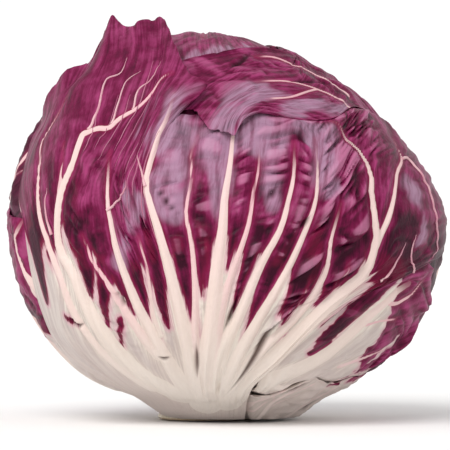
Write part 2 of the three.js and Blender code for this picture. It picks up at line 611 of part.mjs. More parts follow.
// The dense middle: a core with the tips of its leaves lapping round it, each over the next.
function makeHeart() {
  const positions = [];
  const index = [];
  const point = (bearing, height) => {
    const dir = turned(bearing, height);
    const lap = (((bearing / 360) * HEART.tips + height / HEART.twist) % 1 + 1) % 1;
    const relief = HEART.tipRelief * lap * rise(...HEART.tipsEnd, Math.abs(height));
    const ceiling = Math.min(HEART.rest, cover.limit(dir) - BLADE.gap);
    const p = skin(dir, ceiling - HEART.tipRelief + relief);
    p.z = Math.max(p.z, STEM.height + BLADE.gap);
    return p;
  };
  const last = HEART.rows * HEART.around;
  for (let r = 0; r < HEART.rows; r += 1) {
    const height = -90 + (180 * (r + 1)) / (HEART.rows + 1);
    for (let k = 0; k < HEART.around; k += 1) {
      positions.push(...point((360 * k) / HEART.around, height));
    }
  }
  positions.push(...point(0, -90), ...point(0, 90));
  for (let k = 0; k < HEART.around; k += 1) {
    const next = (k + 1) % HEART.around;
    for (let r = 0; r + 1 < HEART.rows; r += 1) {
      const [a, b] = [r * HEART.around + k, r * HEART.around + next];
      const [c, d] = [b + HEART.around, a + HEART.around];
      index.push(a, b, c, a, c, d);
    }
    const top = (HEART.rows - 1) * HEART.around;
    index.push(next, k, last, top + k, top + next, last + 1);
  }
  const geometry = new THREE.BufferGeometry();
  geometry.setAttribute('position', new THREE.Float32BufferAttribute(positions, 3));
  geometry.setIndex(index);
  geometry.computeVertexNormals();
  const mesh = new THREE.Mesh(geometry, new THREE.MeshStandardMaterial({
    color: COLOUR.heart, roughness: 0.5, metalness: 0,
  }));
  mesh.name = 'heart';
  return mesh;
}

// The cut stub that the leaves grow from, with a flat face to rest on.
function makeStem() {
  const profile = [
    [0, 0],
    [STEM.cutRadius - STEM.bevel, 0],
    [STEM.cutRadius, STEM.bevel],
    [STEM.topRadius, STEM.height],
    [0, STEM.height],
  ].map(([r, z]) => new THREE.Vector2(r, z));
  const geometry = new THREE.LatheGeometry(profile, STEM.sides);
  geometry.rotateX(Math.PI / 2);
  const mesh = new THREE.Mesh(geometry, new THREE.MeshStandardMaterial({
    color: COLOUR.stem, roughness: 0.6, metalness: 0,
  }));
  mesh.name = 'stem';
  return mesh;
}

const head = new THREE.Group();
for (const leaf of leaves) head.add(makeLeaf(leaf));
head.add(makeHeart(), makeStem());

export default head;
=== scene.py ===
# %% [markdown]
# # A round head of radicchio
#
# A head of radicchio is a ball of waxy leaves packed round a short cut stem. Each wrapper leaf
# has a fan of thick cream ribs that run up from the stem and thin out to pink veins, with
# burgundy blade puckered between them. The imported frame holds every leaf as a plain sheet.
# Here each sheet is laid again on the same guide lines with a much finer grid, so that ribs,
# puckers, creases and torn margins are real shape and not only bump.
#
# This first cell loads the frame and keeps its nodes by name.

# %% The frame
import math

import bpy
import numpy as np
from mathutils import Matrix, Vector
from mathutils.bvhtree import BVHTree


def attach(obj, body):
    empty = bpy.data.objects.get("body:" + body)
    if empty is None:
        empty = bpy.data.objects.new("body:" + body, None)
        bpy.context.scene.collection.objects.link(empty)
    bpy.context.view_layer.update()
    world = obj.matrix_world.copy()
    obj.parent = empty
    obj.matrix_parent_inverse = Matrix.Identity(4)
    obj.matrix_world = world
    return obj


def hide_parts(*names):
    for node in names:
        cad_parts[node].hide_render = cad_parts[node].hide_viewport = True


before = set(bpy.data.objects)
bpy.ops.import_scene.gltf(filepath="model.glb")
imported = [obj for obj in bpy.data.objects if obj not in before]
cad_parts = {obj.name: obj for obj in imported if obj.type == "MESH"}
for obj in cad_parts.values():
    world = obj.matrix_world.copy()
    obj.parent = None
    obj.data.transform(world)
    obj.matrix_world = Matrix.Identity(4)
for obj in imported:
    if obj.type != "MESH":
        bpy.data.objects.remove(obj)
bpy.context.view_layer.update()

print("nodes in the frame:", sorted(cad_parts))

# %% [markdown]
# ## The ball that the leaves lie on
#
# All leaves wrap a slightly squashed ball that leans back at the crown, slimmer high up on the
# right than on the left. It could be sculpted, but a formula lets every leaf find the ball by a
# direction from its middle, so the same few sizes carry the whole head. Sizes are in
# millimetres until the meshes are made, and angles are in degrees.

# %% Sizes of the ball, and a smooth step
MM = 0.001
CENTRE_X, CENTRE_Z = 6.0, 55.0
HALF_WIDE, HALF_DEEP, HALF_HIGH = 62.0, 60.0, 55.2
LEFT_FULLNESS, RIGHT_FULLNESS, BASE_FULLNESS = 1.92, 1.53, 2.06
CROWN_LEAN = 5.0
NEAR_POLE = 0.9995
LOWEST = 0.5
DROOP = dict(deep=2.6, start=0.9, full=0.965)
MEAN_RADIUS = 60.0
LEAF_RING = 14.4


def rise(a, b, x):
    """Smooth step from 0 where x is a to 1 where x is b."""
    share = np.clip((np.asarray(x, float) - a) / (b - a), 0, 1)
    return share * share * (3 - 2 * share)


def lean(z):
    return np.where(z > 0, -CROWN_LEAN * z * z, 0.0)


def fullness(z, side):
    """How wide the ball is at a level, as a share of an ellipsoid. side is -1 on its left."""
    top = LEFT_FULLNESS + (RIGHT_FULLNESS - LEFT_FULLNESS) * (side + 1) / 2
    power = np.where(z < 0, BASE_FULLNESS, top)
    level = np.minimum(np.abs(z), NEAR_POLE)
    return (1 - level ** power) ** (1 / power) / np.sqrt(1 - level * level)


def skin(dirs, height=0.0):
    """Points on the ball in the given directions, raised by a height."""
    x, y, z = dirs[..., 0], dirs[..., 1], dirs[..., 2]
    grow = 1 + height / MEAN_RADIUS
    wide = fullness(z, x / np.maximum(np.hypot(x, y), 1e-6)) * grow
    up = CENTRE_Z + HALF_HIGH * z * grow - DROOP["deep"] * rise(DROOP["start"], DROOP["full"], -z)
    across = CENTRE_X + lean(z) + HALF_WIDE * x * wide
    return np.stack([across, HALF_DEEP * y * wide, np.maximum(LOWEST, up)], -1)


print("ball, mm:", 2 * HALF_WIDE, "x", 2 * HALF_DEEP, "x", 2 * HALF_HIGH)

# %% [markdown]
# ## Three ways to name a direction
#
# A place on the head is easiest to give in the way that it was measured: round the back by
# bearing and height angle, on the front by how far across and up it is, and at the stem by
# bearing on the ring that the leaves grow from. Each helper turns that into a direction.

# %% Directions
SETTLING_ROUNDS = 12
FARTHEST_OUT = 0.995


def turned(bearing, height):
    b, h = math.radians(bearing), math.radians(height)
    return np.array([math.cos(h) * math.cos(b), math.cos(h) * math.sin(b), math.sin(h)])


def front(x, z):
    up = (z - CENTRE_Z) / HALF_HIGH
    level = math.sqrt(max(1 - up * up, 1e-6))
    off = (x - CENTRE_X - float(lean(np.array(min(up, 1.0))))) / HALF_WIDE
    across = 0.0
    for _ in range(SETTLING_ROUNDS):
        across = off / float(fullness(up, min(max(across / level, -1.0), 1.0)))
    reach = min(math.hypot(across, up), FARTHEST_OUT)
    angle = math.atan2(up, across)
    level = -math.sqrt(1 - reach * reach)
    return np.array([reach * math.cos(angle), level, reach * math.sin(angle)])


def root(bearing):
    dx = (LEAF_RING * math.cos(math.radians(bearing)) - CENTRE_X) / HALF_WIDE
    dy = LEAF_RING * math.sin(math.radians(bearing)) / HALF_DEEP
    out = math.hypot(dx, dy)
    down = (1 - out ** BASE_FULLNESS) ** (1 / BASE_FULLNESS)
    level = math.sqrt(1 - down * down)
    return np.array([dx / out * level, dy / out * level, -down])


def front_line(*pairs):
    return [front(x, z) for x, z in pairs]


def turned_line(*pairs):
    return [turned(b, h) for b, h in pairs]


print("leaf root at the front points down by", round(-float(root(-90)[2]), 3))

# %% [markdown]
# ## A flat chart and smooth lines
#
# A leaf is easier to plan flat. The chart unrolls the ball round the middle of the leaf, with
# true distances from there, in degrees. Guide lines on it are smooth curves through a few
# points, read at even steps of their length, so that the rows of the grid stay even.

# %% Chart and curves
class Chart:
    def __init__(self, middle):
        self.middle = middle / np.linalg.norm(middle)
        right = np.cross([0.0, 0.0, 1.0], self.middle)
        self.right = right / np.linalg.norm(right)
        self.up = np.cross(self.middle, self.right)

    def flat(self, dirs):
        dirs = np.asarray(dirs)
        angle = np.degrees(np.arccos(np.clip(dirs @ self.middle, -1, 1)))
        a, b = dirs @ self.right, dirs @ self.up
        size = np.maximum(np.hypot(a, b), 1e-9)
        return np.stack([a / size * angle, b / size * angle], -1)

    def dirs(self, flats):
        angle = np.radians(np.hypot(flats[..., 0], flats[..., 1]))[..., None]
        turn = np.arctan2(flats[..., 1], flats[..., 0])[..., None]
        sideways = np.cos(turn) * self.right + np.sin(turn) * self.up
        return np.cos(angle) * self.middle + np.sin(angle) * sideways


class Line:
    """A centripetal Catmull-Rom curve through points, read by share of its length."""

    STEPS = 24

    def __init__(self, points):
        p = np.asarray(points, float)
        p = np.vstack([2 * p[0] - p[1], p, 2 * p[-1] - p[-2]])
        gaps = np.sqrt(np.linalg.norm(np.diff(p, axis=0), axis=1))
        k = np.concatenate([[0.0], np.cumsum(gaps)])
        pieces = []
        for i in range(1, len(p) - 2):
            t = np.linspace(k[i], k[i + 1], self.STEPS, endpoint=False)[:, None]
            a, b, c = [self.between(t, k, p, j, j + 1) for j in (i - 1, i, i + 1)]
            d = ((k[i + 1] - t) * a + (t - k[i - 1]) * b) / (k[i + 1] - k[i - 1])
            e = ((k[i + 2] - t) * b + (t - k[i]) * c) / (k[i + 2] - k[i])
            pieces.append(((k[i + 1] - t) * d + (t - k[i]) * e) / (k[i + 1] - k[i]))
        self.points = np.vstack(pieces + [p[-2:-1]])
        steps = np.linalg.norm(np.diff(self.points, axis=0), axis=1)
        self.reached = np.concatenate([[0.0], np.cumsum(steps)])
        self.length = self.reached[-1]

    @staticmethod
    def between(t, k, p, i, j):
        return ((k[j] - t) * p[i] + (t - k[i]) * p[j]) / (k[j] - k[i])

    def at(self, shares):
        far = np.asarray(shares) * self.length
        axes = range(self.points.shape[1])
        return np.stack([np.interp(far, self.reached, self.points[:, a]) for a in axes], -1)


front_chart = Chart(turned(-90, 0))
print("the stem is", round(float(front_chart.flat(root(-90))[1]), 1), "degrees from the front")

# %% [markdown]
# ## Noise that is the same each time
#
# Leaves are never even. A small value noise, made from whole-number hashing, gives every
# pucker and tear the same place on each run.

# %% Noise
HASH = dict(seed=7919, start=17, axis=31, mix=2654435761, stir=1274126177, size=2 ** 32)
COARSE_PART, FINE_PART, FINER = 0.68, 0.32, 2.1


def noise(points, seed):
    """Smooth noise from -1 to 1, with one value for each whole step of the points."""
    points = np.asarray(points, float)
    cell = np.floor(points).astype(np.int64)
    part = points - cell
    part = part * part * (3 - 2 * part)
    total = np.zeros(points.shape[:-1])
    corners = 2 ** points.shape[-1]
    for corner in range(corners):
        weight = np.ones(points.shape[:-1])
        key = np.full(points.shape[:-1], seed * HASH["seed"] + HASH["start"], np.int64)
        for axis in range(points.shape[-1]):
            bit = (corner >> axis) & 1
            weight = weight * (part[..., axis] if bit else 1 - part[..., axis])
            key = (key * HASH["axis"] + cell[..., axis] + bit) * HASH["mix"] % HASH["size"]
        key = (key ^ (key >> 13)) * HASH["stir"] % HASH["size"]
        key = key ^ (key >> 16)
        total += weight * (2 * key / HASH["size"] - 1)
    return total


def two_scales(points, seed):
    points = np.asarray(points, float)
    return COARSE_PART * noise(points, seed) + FINE_PART * noise(points * FINER, seed + 1)


sample = noise(np.random.default_rng(3).uniform(0, 50, (2000, 2)), 1)
print("noise spread:", round(float(sample.std()), 3))

# %% [markdown]
# ## What already covers the head
#
# Leaves are laid from the outside in, and each has to stay under those outside it. The cover
# keeps how low the inner faces of the laid leaves reach, on the chart of the leaf that comes
# next. It is spread a little and softened, so that an inner leaf dips before it goes under.

# %% Cover
COVER_STEP = 1.5
COVER_REACH = 1
COVER_OPEN = 3.0
LEAF_GAP = 0.2


class Cover:
    def __init__(self):
        self.laid = []

    def lay(self, dirs, heights):
        self.laid.append((dirs.reshape(-1, 3), heights.ravel()))

    def limit(self, chart, flats):
        size = int(round(360 / COVER_STEP))
        cells = np.full((size, size), COVER_OPEN)
        for dirs, heights in self.laid:
            at = np.clip(((chart.flat(dirs) + 180) / COVER_STEP).astype(int), 0, size - 1)
            np.minimum.at(cells, (at[:, 0], at[:, 1]), heights)
        low = cells.copy()
        for dx in range(-COVER_REACH, COVER_REACH + 1):
            for dy in range(-COVER_REACH, COVER_REACH + 1):
                if dx * dx + dy * dy <= COVER_REACH ** 2:
                    low = np.minimum(low, np.roll(cells, (dx, dy), (0, 1)))
        for _ in range(2):
            for axis in (0, 1):
                low = (np.roll(low, 1, axis) + low + np.roll(low, -1, axis)) / 3
        place = np.clip((flats + 180) / COVER_STEP - 0.5, 0, size - 1.001)
        cell = place.astype(int)
        part = place - cell
        i, j = cell[..., 0], cell[..., 1]
        u, v = part[..., 0], part[..., 1]
        left = low[i, j] * (1 - v) + low[i, j + 1] * v
        right = low[i + 1, j] * (1 - v) + low[i + 1, j + 1] * v
        return left * (1 - u) + right * u


cover = Cover()
print("cover cells are", COVER_STEP, "degrees wide")

# %% [markdown]
# ## The corner that stands up
#
# One corner of the front leaf has come away from the head. Past a certain angle from the
# front it runs straight on, as a stiff leaf does, and no longer follows the ball.

# %% Standing corner
STANDS = dict(leaves=53.0, start=84.0, full=92.0, fade=130.0, end=150.0)
LOBE = dict(high=4.2, start=0.72, full=0.95, left=(1.5, 3.5), right=(8, 7), free=0.66, ends=7.9)
WALK = dict(steps=60, stride=0.7)


def stand_off(flats, height):
    wrapped = skin(front_chart.dirs(flats), height)
    angle = np.hypot(flats[..., 0], flats[..., 1])
    turn = np.degrees(np.arctan2(flats[..., 1], flats[..., 0]))
    share = rise(STANDS["start"], STANDS["full"], turn)
    share = share * rise(STANDS["end"], STANDS["fade"], turn)
    share = np.where(angle > STANDS["leaves"], share, 0.0)[..., None]
    unit = flats / np.maximum(angle, 1e-9)[..., None]
    start = skin(front_chart.dirs(unit * STANDS["leaves"]), height)
    step = skin(front_chart.dirs(unit * (STANDS["leaves"] + 1)), height) - start
    straight = start + step * (angle - STANDS["leaves"])[..., None]
    return wrapped * (1 - share) + straight * share


def standing(x, z):
    """The direction of a point of the corner, found by walking until the corner is there."""
    wanted = np.array([x, z])
    flat = wanted - [CENTRE_X, CENTRE_Z]
    for _ in range(WALK["steps"]):
        flat = flat + WALK["stride"] * (wanted - stand_off(flat, LOBE["high"])[[0, 2]])
    return front_chart.dirs(flat)


def on_ball(chart):
    return lambda flats, height: skin(chart.dirs(flats), height)


print("the corner stands", LOBE["high"], "mm off the head")

# %% [markdown]
# ## Ribs
#
# A rib is a fleshy cord in the leaf: half round, widest at the stem and thinning along its
# way. Swept tubes would leave a seam where they meet the blade, so ribs are raised in the
# sheet itself. Each line is measured against every point of the grid in real millimetres,
# which gives the height there and how far outside the rib's edge the point is. That distance
# travels with the mesh, and the material draws a crisp edge from it at any zoom.

# %% Ribs
RIB_STEPS = 26
RIB_TAPER = 1.4
THINNEST = 0.3
BLEND = 4
FAR = 9.0
SECTION = dict(power=0.8, more=0.9, start=0.45, full=0.1)
FAINT = dict(at_tip=0.75, when_thin=0.2, thin=0.6, most=0.9)
STROKE_STEPS = 12
POINTED = dict(by=0.9, share=0.45)


def rib(points, wide, high, pink=(0.0, 1.0), ends=0.85):
    """Half width and height in mm, and how pink it is, at the stem end and at the tip.

    It sinks into the blade from the share 'ends' of its length. At 1 it runs on to a fork.
    """
    return dict(points=points, wide=wide, high=high, pink=pink, ends=ends)


def distance_to(line, points):
    """The distance of each point to a line, and the share of the line where it is nearest."""
    best = np.full(len(points), 1e9)
    along = np.zeros(len(points))
    steps = len(line) - 1
    for i in range(steps):
        a, b = line[i], line[i + 1]
        ab = b - a
        share = np.clip((points - a) @ ab / max(float(ab @ ab), 1e-9), 0, 1)
        far = np.linalg.norm(points - (a + share[:, None] * ab), axis=1)
        nearer = far < best
        best = np.where(nearer, far, best)
        along = np.where(nearer, (i + share) / steps, along)
    return best, along


def taper(ends, along):
    return ends[1] + (ends[0] - ends[1]) * (1 - along) ** RIB_TAPER


def measure_ribs(ribs, chart, place, points):
    """Height of the ribs at the points, distance outside their edges, and how pink they are."""
    high = np.zeros(len(points))
    edge = np.full(len(points), FAR)
    pink = np.zeros(len(points))
    faint = np.zeros(len(points))
    for one in ribs:
        flats = Line(chart.flat(np.array(one["points"]))).at(np.linspace(0, 1, RIB_STEPS))
        line = place(flats, 0.0)
        margin = one["wide"][0] + FAR
        near = np.all((points > line.min(0) - margin) & (points < line.max(0) + margin), axis=1)
        where = np.nonzero(near)[0]
        far, along = distance_to(line, points[where])
        wide = np.maximum(taper(one["wide"], along), THINNEST)
        power = SECTION["power"] + SECTION["more"] * rise(SECTION["start"], SECTION["full"], along)
        round_part = np.maximum(0, 1 - (far / wide) ** 2) ** power
        high[where] += (taper(one["high"], along) * round_part) ** BLEND
        outside = far - wide
        first = outside < edge[where]
        edge[where] = np.where(first, outside, edge[where])
        here = one["pink"][0] + (one["pink"][1] - one["pink"][0]) * along
        pink[where] = np.where(first, here, pink[where])
        sunk = FAINT["at_tip"] * rise(one["ends"], 1.001, along) if one["ends"] < 1 else 0.0
        here = sunk + FAINT["when_thin"] * rise(FAINT["thin"], THINNEST, wide)
        faint[where] = np.where(first, np.minimum(here, FAINT["most"]), faint[where])
    return high ** (1 / BLEND), edge, pink, faint


def measure_strokes(strokes, chart, place, points, pointed=False):
    """How far inside the nearest stroke each point is, in mm, for strokes of changing width."""
    inside = np.full(len(points), -FAR)
    for line_points, wide_from, wide_to in strokes:
        flats = Line(chart.flat(np.array(line_points))).at(np.linspace(0, 1, STROKE_STEPS))
        far, along = distance_to(place(flats, 0.0), points)
        wide = wide_from + (wide_to - wide_from) * along
        if pointed:
            wide = wide - POINTED["by"] * rise(POINTED["share"], 0, np.minimum(along, 1 - along))
        inside = np.maximum(inside, wide - far)
    return inside


print("a rib is read at", RIB_STEPS, "points")

# %% [markdown]
# ## The grid of a leaf
#
# Columns fan out between the guide lines and rows run across them. Columns are shared out by
# how wide each panel is, so that cells stay close to half a millimetre on the front leaf. The
# ends are torn back a little, unevenly, because a real margin is never a clean line.

# %% Fan of columns
ACROSS_TENSION = 0.55
TORN = dict(deep=0.9, per_guide=5, power=4)
TEETH = dict(wide=1.7, small=0.8, small_part=0.5, power=14)
CUTS = dict(slope=0.2, power=9)


def panel_widths(guides):
    shares = np.linspace(0.2, 1, 9)
    rows = [g.at(shares) for g in guides]
    return np.array([np.linalg.norm(a - b, axis=1).mean() for a, b in zip(rows, rows[1:])])


def fan_places(guides, columns):
    reached = np.concatenate([[0.0], np.cumsum(panel_widths(guides))])
    far = np.linspace(0, reached[-1], columns + 1)
    return np.interp(far, reached, np.arange(len(guides))), far


def cut_back(cuts, place):
    """How many millimetres a tear takes off the end of the leaf at this place across it."""
    slope = CUTS["slope"]
    return sum(deep * rise(a, a + slope, place) * rise(b, b - slope, place) for a, b, deep in cuts)


def fan_points(guides, places, across, shares, phase, teeth, cuts):
    """Chart points of the grid, smooth across the guides as well as along them."""
    last = len(guides) - 1
    rows = []
    for place, far in zip(places, across):
        uneven = 1 + math.sin(place * TORN["per_guide"] + phase)
        torn = TORN["deep"] * uneven * shares ** TORN["power"]
        bite = noise(np.array([far / TEETH["wide"], phase]), 5)
        bite = bite + TEETH["small_part"] * noise(np.array([far / TEETH["small"], phase]), 6)
        torn = torn + teeth * max(0.0, float(bite)) * shares ** TEETH["power"]
        torn = torn + cut_back(cuts, place) * shares ** CUTS["power"]
        i = min(int(place), last - 1)
        part = place - i
        four = [guides[min(max(k, 0), last)] for k in (i - 1, i, i + 1, i + 2)]
        p = [g.at(np.clip(shares - shares * torn / g.length, 0, 1)) for g in four]
        leave = ACROSS_TENSION * (p[2] - p[0]) / 2
        arrive = ACROSS_TENSION * (p[3] - p[1]) / 2
        square, cube = part * part, part ** 3
        rows.append(
            p[1] * (2 * cube - 3 * square + 1) + leave * (cube - 2 * square + part)
            + p[2] * (3 * square - 2 * cube) + arrive * (cube - square)
        )
    return np.array(rows)


print("margins are torn back by up to", 2 * TORN["deep"], "mm")

# %% [markdown]
# ## The sheet of a leaf
#
# The height of the blade is its rest height, a wave at the margin, cushions between the ribs,
# puckers across them and creases pressed into them. All of it is then held under the cover.
# The inner face follows the blade and is half as fine, because only its margin is ever seen.

# %% Blade
EASE = 0.5
PLEAT = dict(slant=38.0, long=9.0, apart=3.3, bend=0.5, bend_size=7.0, small_part=0.45,
             small=(1.6, 2.1), high=1.7, middle=0.4)
PUCKER = dict(turn=27, size=(6.5, 5.0), clear_of_rib=3.0, at_rim=0.25)
FOLD_SHARPNESS = 1.5
GROOVE = dict(size=(3.4, 40.0), more_near_stem=(0.4, 0.2), start=(0.02, 0.2))
CUSHION_START = (0.05, 0.3)
CREASE_EDGE = (-0.8, 0.3)
RIM_ZONE = 0.7
RIB_GROWS = dict(at_side=0.5, at_tip=0.93, least=0.12, most=0.88, up=(0.04, 0.34))
WAVE = dict(high=1.3, start=0.8, per_guide=0.75)
FRILL = dict(size=(4.2, 9.0), start=0.86)
BASE_SINKS = dict(deep=0.9, until=0.28)
BLADE = dict(thick=0.8, margin=0.3, root=2.8, root_share=0.2, side_slope=5, tip_slope=14)
FREE_HEIGHT = 99


def everywhere(place, share):
    """Where the blade is puckered: all of it but the part next to the stem."""
    return rise(0.1, 0.3, share)


def nowhere(place, share):
    return 0.0


PLAIN = dict(
    cushion=0.5, pucker=0.5, pleat=0.5, fold=0.6, grooves=0.25, crease_deep=1.0, wavy=1.0,
    frill=0.6, hem=0.0, brim=0.0, teeth=0.8, midrib=0.0, cuts=(), creases=(), stands=False,
    zone=everywhere, lift=nowhere, free=nowhere,
)


def lower_of(a, b):
    """The lower of two heights, rounded off where they cross."""
    close = np.maximum(EASE - np.abs(a - b), 0) / EASE
    return np.minimum(a, b) - close * close * EASE / 4


def spun(grain, degrees):
    """The same coordinates on axes turned by an angle, so that no fold lies along the grid."""
    cos, sin = math.cos(math.radians(degrees)), math.sin(math.radians(degrees))
    x, y = grain[..., 0], grain[..., 1]
    return np.stack([x * cos + y * sin, y * cos - x * sin], -1)


def pleats(grain, places, leaf):
    """Blisters that climb aslant from the ribs, rounded on top, with sharp valleys between."""
    mirror = np.where(places < leaf["midrib"], -1.0, 1.0)
    sides = np.stack([grain[..., 0] * mirror, grain[..., 1]], -1)
    spots = spun(sides, PLEAT["slant"]) / [PLEAT["long"], PLEAT["apart"]]
    bend = noise(spun(grain, 20) / PLEAT["bend_size"], 91)
    bent = spots + PLEAT["bend"] * bend[..., None]
    large = np.abs(noise(bent, 90 + leaf["phase"]))
    small = np.abs(noise(spun(bent, 31) * PLEAT["small"], 92 + leaf["phase"]))
    return PLEAT["high"] * (large + PLEAT["small_part"] * small - PLEAT["middle"])


def relief_of(leaf, p, v, side, grain, edge, crease):
    """Cushions, puckers, grooves and creases of the blade, in mm, and how folded it is."""
    between = rise(0.0, PUCKER["clear_of_rib"], edge)
    cushion = leaf["cushion"] * between * rise(*CUSHION_START, v) * rise(0, RIM_ZONE, side)
    where = leaf["zone"](p, v)
    rim = PUCKER["at_rim"] + (1 - PUCKER["at_rim"]) * rise(0, RIM_ZONE, side)
    turned_grain = spun(grain, PUCKER["turn"]) / PUCKER["size"]
    pucker = leaf["pucker"] * two_scales(turned_grain, leaf["phase"])
    blister = pleats(grain, p, leaf)
    pucker = (pucker + leaf["pleat"] * blister) * where * between * rim
    fold = np.clip(FOLD_SHARPNESS * blister, -1, 1) * where * between * leaf["fold"]
    grooves = noise(grain / GROOVE["size"], 40 + leaf["phase"])
    grooves = leaf["grooves"] * (grooves * (1 + rise(*GROOVE["more_near_stem"], v)))
    grooves = grooves * rise(*GROOVE["start"], v)
    return cushion + pucker + grooves - leaf["crease_deep"] * crease, fold


def margin_of(leaf, p, v, grain):
    """Waves and frills at the tip of the leaf, in mm."""
    wave = WAVE["high"] * leaf["wavy"] * rise(WAVE["start"], 1, v)
    wave = wave * (0.5 + 0.5 * np.sin(2 * math.pi * WAVE["per_guide"] * p + leaf["phase"]))
    return wave + leaf["frill"] * noise(grain / FRILL["size"], 9) * rise(FRILL["start"], 1, v)


def lay_sheet(leaf):
    leaf = {**PLAIN, **leaf}
    chart = Chart(leaf["middle"])
    guides = [Line(chart.flat(np.array(g))) for g in leaf["guides"]]
    places, across = fan_places(guides, leaf["columns"])
    shares = np.linspace(0, 1, leaf["rows"] + 1)
    flats = fan_points(guides, places, across, shares, leaf["phase"], leaf["teeth"], leaf["cuts"])
    place_on = stand_off if leaf["stands"] else on_ball(chart)
    base = place_on(flats, 0.0)
    points = base.reshape(-1, 3)
    shape = flats.shape[:2]
    p, v = places[:, None], shares[None, :]
    far_side = len(guides) - 1 - p
    side = np.minimum(p, far_side)
    along = v * np.mean([g.length for g in guides])
    grain = np.stack(np.broadcast_arrays(across[:, None], along), -1)

    measured = measure_ribs(leaf["ribs"], chart, place_on, points)
    high, edge, pink, faint = (a.reshape(shape) for a in measured)
    high = high * rise(0, RIB_GROWS["at_side"], side) * rise(1, RIB_GROWS["at_tip"], v)
    high = high * (RIB_GROWS["least"] + RIB_GROWS["most"] * rise(*RIB_GROWS["up"], v))
    pressed = measure_strokes(leaf["creases"], chart, place_on, points, pointed=True)
    crease = rise(*CREASE_EDGE, pressed.reshape(shape))
    relief, fold = relief_of(leaf, p, v, side, grain, edge, crease)

    lift = leaf["lift"](p, v) - leaf["hem"] * rise(RIM_ZONE, 0, p)
    lift = lift + leaf["brim"] * rise(RIM_ZONE, 0, far_side)
    sinks = BASE_SINKS["deep"] * rise(BASE_SINKS["until"], 0, v)
    wanted = leaf["rest"] - sinks + lift + margin_of(leaf, p, v, grain) + relief
    ceiling = cover.limit(chart, flats) - LEAF_GAP + FREE_HEIGHT * leaf["free"](p, v)
    blade = lower_of(wanted, ceiling - high)
    fleshy = (BLADE["root"] - BLADE["thick"]) * rise(BLADE["root_share"], 0, v)
    fleshy = BLADE["thick"] + fleshy
    rim = np.minimum(side * BLADE["side_slope"], (1 - v) * BLADE["tip_slope"])
    thick = BLADE["margin"] + (fleshy - BLADE["margin"]) * rise(0, 1, rim)
    cover.lay(chart.dirs(flats), blade - thick)
    return dict(
        outer=place_on(flats, blade + high), inner=place_on(flats, blade - thick),
        edge=edge, pink=pink, faint=faint, crease=crease, fold=fold, grain=grain, base=base,
        share=v + 0 * p,
    )


print("a blade is", BLADE["thick"], "mm thick and", BLADE["root"], "mm at the root")

# %% [markdown]
# ## From grid to mesh
#
# The outer face uses every point of the grid and the inner face every second one. A strip of
# triangles round the rim closes the two into one solid, which a printer or a physics engine
# would need as much as the renderer does.

# %% Mesh
def rim_walk(columns, rows, step):
    out = [(i, 0) for i in range(0, columns, step)]
    out += [(columns, j) for j in range(0, rows, step)]
    out += [(i, rows) for i in range(columns, 0, -step)]
    out += [(0, j) for j in range(rows, 0, -step)]
    return out


def sheet_faces(columns, rows, step):
    """Faces of the fine outer grid, of the coarser inner one, and of the strip between them."""
    fine = (np.arange(columns + 1)[:, None] * (rows + 1) + np.arange(rows + 1)[None, :])
    count = (columns + 1) * (rows + 1)
    inner_rows = rows // step + 1
    coarse = count + np.arange(columns // step + 1)[:, None] * inner_rows + np.arange(inner_rows)
    faces = []
    for grid, order in ((fine, (0, 1, 2, 3)), (coarse, (0, 3, 2, 1))):
        corners = [grid[:-1, :-1], grid[1:, :-1], grid[1:, 1:], grid[:-1, 1:]]
        faces += np.stack([corners[k].ravel() for k in order], -1).tolist()
    walk = rim_walk(columns, rows, 1)
    outer = [int(fine[i, j]) for i, j in walk]
    inner = [int(coarse[i // step, j // step]) for i, j in rim_walk(columns, rows, step)]
    half = step // 2
    for k, near in enumerate(inner):
        far = inner[(k + 1) % len(inner)]
        strip = [outer[(k * step + n) % len(outer)] for n in range(step + 1)]
        faces += [[strip[n + 1], strip[n], near] for n in range(half)]
        faces.append([strip[half], near, far])
        faces += [[strip[n + 1], strip[n], far] for n in range(half, step)]
    return faces


INNER_STEP = 2
SHARP_FROM = 70


def leaf_mesh(name, sheet):
    columns, rows = (n - 1 for n in sheet["outer"].shape[:2])
    thin = (slice(None, None, INNER_STEP), slice(None, None, INNER_STEP))

    def both(values):
        flat_size = (-1,) + values.shape[2:]
        return np.concatenate([values.reshape(flat_size), values[thin].reshape(flat_size)])

    points = np.concatenate([sheet["outer"].reshape(-1, 3), sheet["inner"][thin].reshape(-1, 3)])
    mesh = bpy.data.meshes.new(name)
    mesh.from_pydata((points * MM).tolist(), [], sheet_faces(columns, rows, INNER_STEP))
    for key in ("edge", "pink", "faint", "crease", "pigment", "depth", "fold"):
        carried = mesh.attributes.new(key, "FLOAT", "POINT")
        carried.data.foreach_set("value", both(sheet[key]).ravel())
    grain = np.concatenate([both(sheet["grain"]), np.zeros((len(points), 1))], 1)
    carried = mesh.attributes.new("grain", "FLOAT_VECTOR", "POINT")
    carried.data.foreach_set("vector", grain.ravel())
    mesh.polygons.foreach_set("use_smooth", np.ones(len(mesh.polygons), bool))
    mesh.set_sharp_from_angle(angle=math.radians(SHARP_FROM))
    piece = bpy.data.objects.new(name, mesh)
    bpy.context.scene.collection.objects.link(piece)
    return piece


# %% [markdown]
# ## Colour by the sheet
#
# Burgundy pigment starts some way up from the stem and reaches down between the ribs in
# pointed tongues. Each leaf gets one number for every point: how many millimetres it lies
# inside the pigment. On most leaves it follows from the share of the way up and some noise. On
# the front leaf the edge and the tongues are listed, between its own ribs.

# %% Pigment
SLOPE = 0.3
BY_RULE = dict(reach=16, rib_side=4, back=8)
BLOOM_AND_SHEEN_EDGE = (-3.5, 4.0)
DEEP_BELOW = dict(front=(74, 44), others=(0.85, 0.45), most=0.8, rib_side=2.2)


def uneven(sheet, *layers):
    """Noises over a sheet, added up. Each is its strength, the size of its cells and a seed."""
    return sum(strong * noise(sheet["grain"] / size, seed) for strong, size, seed in layers)


